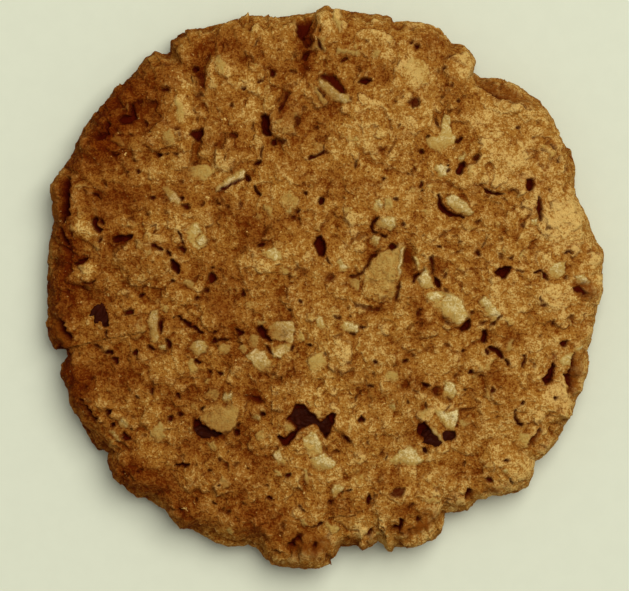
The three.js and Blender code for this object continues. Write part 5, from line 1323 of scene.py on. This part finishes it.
def ground_material(colours):
    """Plain pale card with a faint tooth."""
    material, tree, place = fresh_material("pale_ground")
    tooth = ramp(tree, grains(tree, place, 3.0, 5.0), 0.35, 0.65)
    shade = tuple(colours.ground)
    base = blend_colours(tree, tooth, tuple(c * 0.985 for c in shade), shade)
    finish_material(tree, base, 0.9, 0.1)
    return material


# ------------------------------------------------------------------ operators

GROUND_REACH = 900              # from the middle of the ground to each edge
LAMP_WAY = (0.26, 0.31, 0.92)   # from the cookie up to the large soft light
LAMP_DISTANCE = 1.6             # in metres, as the lamp's size is
LAMP_SIZE = 1.20


class COOKIE_OT_dough(bpy.types.Operator):
    """Make the craggy dough with its oats, pits and cracks"""
    bl_idname = "cookie.dough"
    bl_label = "Dough"

    def execute(self, context):
        scene = context.scene
        piece = make_dough(scene.cookie_sizes, dough_material(scene.cookie_colours))
        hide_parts("cookie")
        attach(piece, "root")
        return {"FINISHED"}


class COOKIE_OT_raisins(bpy.types.Operator):
    """Make the raisins that lie sunk in the top"""
    bl_idname = "cookie.raisins"
    bl_label = "Raisins"

    def execute(self, context):
        material = raisin_material(context.scene.cookie_colours)
        for raisin in RAISINS:
            piece = make_raisin(raisin, material)
            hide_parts(raisin.node)
            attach(piece, "root")
        return {"FINISHED"}


class COOKIE_OT_stage(bpy.types.Operator):
    """Set the pale ground, the soft lights and the camera"""
    bl_idname = "cookie.stage"
    bl_label = "Ground, lights and camera"

    def execute(self, context):
        scene = context.scene
        stage = scene.cookie_stage
        corners = [(GROUND_REACH * x, GROUND_REACH * y, 0) for x, y in ((-1, -1), (1, -1), (1, 1), (-1, 1))]
        ground = mesh_object("ground", corners, [(0, 1, 2, 3)], ground_material(scene.cookie_colours))
        self.place_lights(scene, stage)
        self.place_camera(scene, stage)
        return {"FINISHED"}

    def place_lights(self, scene, stage):
        """One large soft light from the upper right, and an even light all round."""
        key = bpy.data.lights.new("key", "AREA")
        key.energy, key.size, key.color = stage.key_power, LAMP_SIZE, (1.0, 0.98, 0.95)
        lamp = bpy.data.objects.new("key", key)
        lamp.location = Vector(LAMP_WAY).normalized() * LAMP_DISTANCE
        lamp.rotation_euler = lamp.location.to_track_quat("Z", "Y").to_euler()
        scene.collection.objects.link(lamp)
        world = bpy.data.worlds.new("soft_fill")
        world.use_nodes = True
        background = world.node_tree.nodes["Background"]
        background.inputs["Color"].default_value = (0.96, 0.95, 0.92, 1)
        background.inputs["Strength"].default_value = stage.fill
        scene.world = world
        scene.view_settings.view_transform = "Standard"

    def place_camera(self, scene, stage):
        """Looks straight down from a long way up."""
        data = bpy.data.cameras.new("camera")
        data.lens, data.sensor_width, data.sensor_fit = stage.lens, 36.0, "HORIZONTAL"
        data.clip_start, data.clip_end = 0.01, 10.0
        camera = bpy.data.objects.new("camera", data)
        up = scene.cookie_sizes.belly_height + stage.frame_width * stage.lens / data.sensor_width
        camera.location = (stage.view_x, stage.view_y, up)
        scene.collection.objects.link(camera)
        scene.camera = camera


class COOKIE_PT_panel(bpy.types.Panel):
    """Lists the cookie's pieces, sizes and colours"""
    bl_idname = "COOKIE_PT_panel"
    bl_label = "Oat Cookie"
    bl_space_type = "VIEW_3D"
    bl_region_type = "UI"
    bl_category = "Oat Cookie"

    def draw(self, context):
        for operator in OPERATORS:
            self.layout.operator(operator.bl_idname)
        for group in (context.scene.cookie_sizes, context.scene.cookie_colours, context.scene.cookie_stage):
            box = self.layout.box()
            for name in group.__annotations__:
                box.prop(group, name)


OPERATORS = (COOKIE_OT_dough, COOKIE_OT_raisins, COOKIE_OT_stage)
GROUPS = (CookieSizes, CookieColours, StageSettings)


def register():
    """Makes the operators, the panel and the settings known to Blender."""
    for kind in (*GROUPS, *OPERATORS, COOKIE_PT_panel):
        bpy.utils.register_class(kind)
    bpy.types.Scene.cookie_sizes = PointerProperty(type=CookieSizes)
    bpy.types.Scene.cookie_colours = PointerProperty(type=CookieColours)
    bpy.types.Scene.cookie_stage = PointerProperty(type=StageSettings)


def unregister():
    """Takes them out of Blender again."""
    del bpy.types.Scene.cookie_sizes, bpy.types.Scene.cookie_colours, bpy.types.Scene.cookie_stage
    for kind in reversed((*GROUPS, *OPERATORS, COOKIE_PT_panel)):
        bpy.utils.unregister_class(kind)


def main():
    """Makes the stage and every piece."""
    register()
    bpy.ops.cookie.stage()
    bpy.ops.cookie.dough()
    bpy.ops.cookie.raisins()


if __name__ == "__main__":
    main()
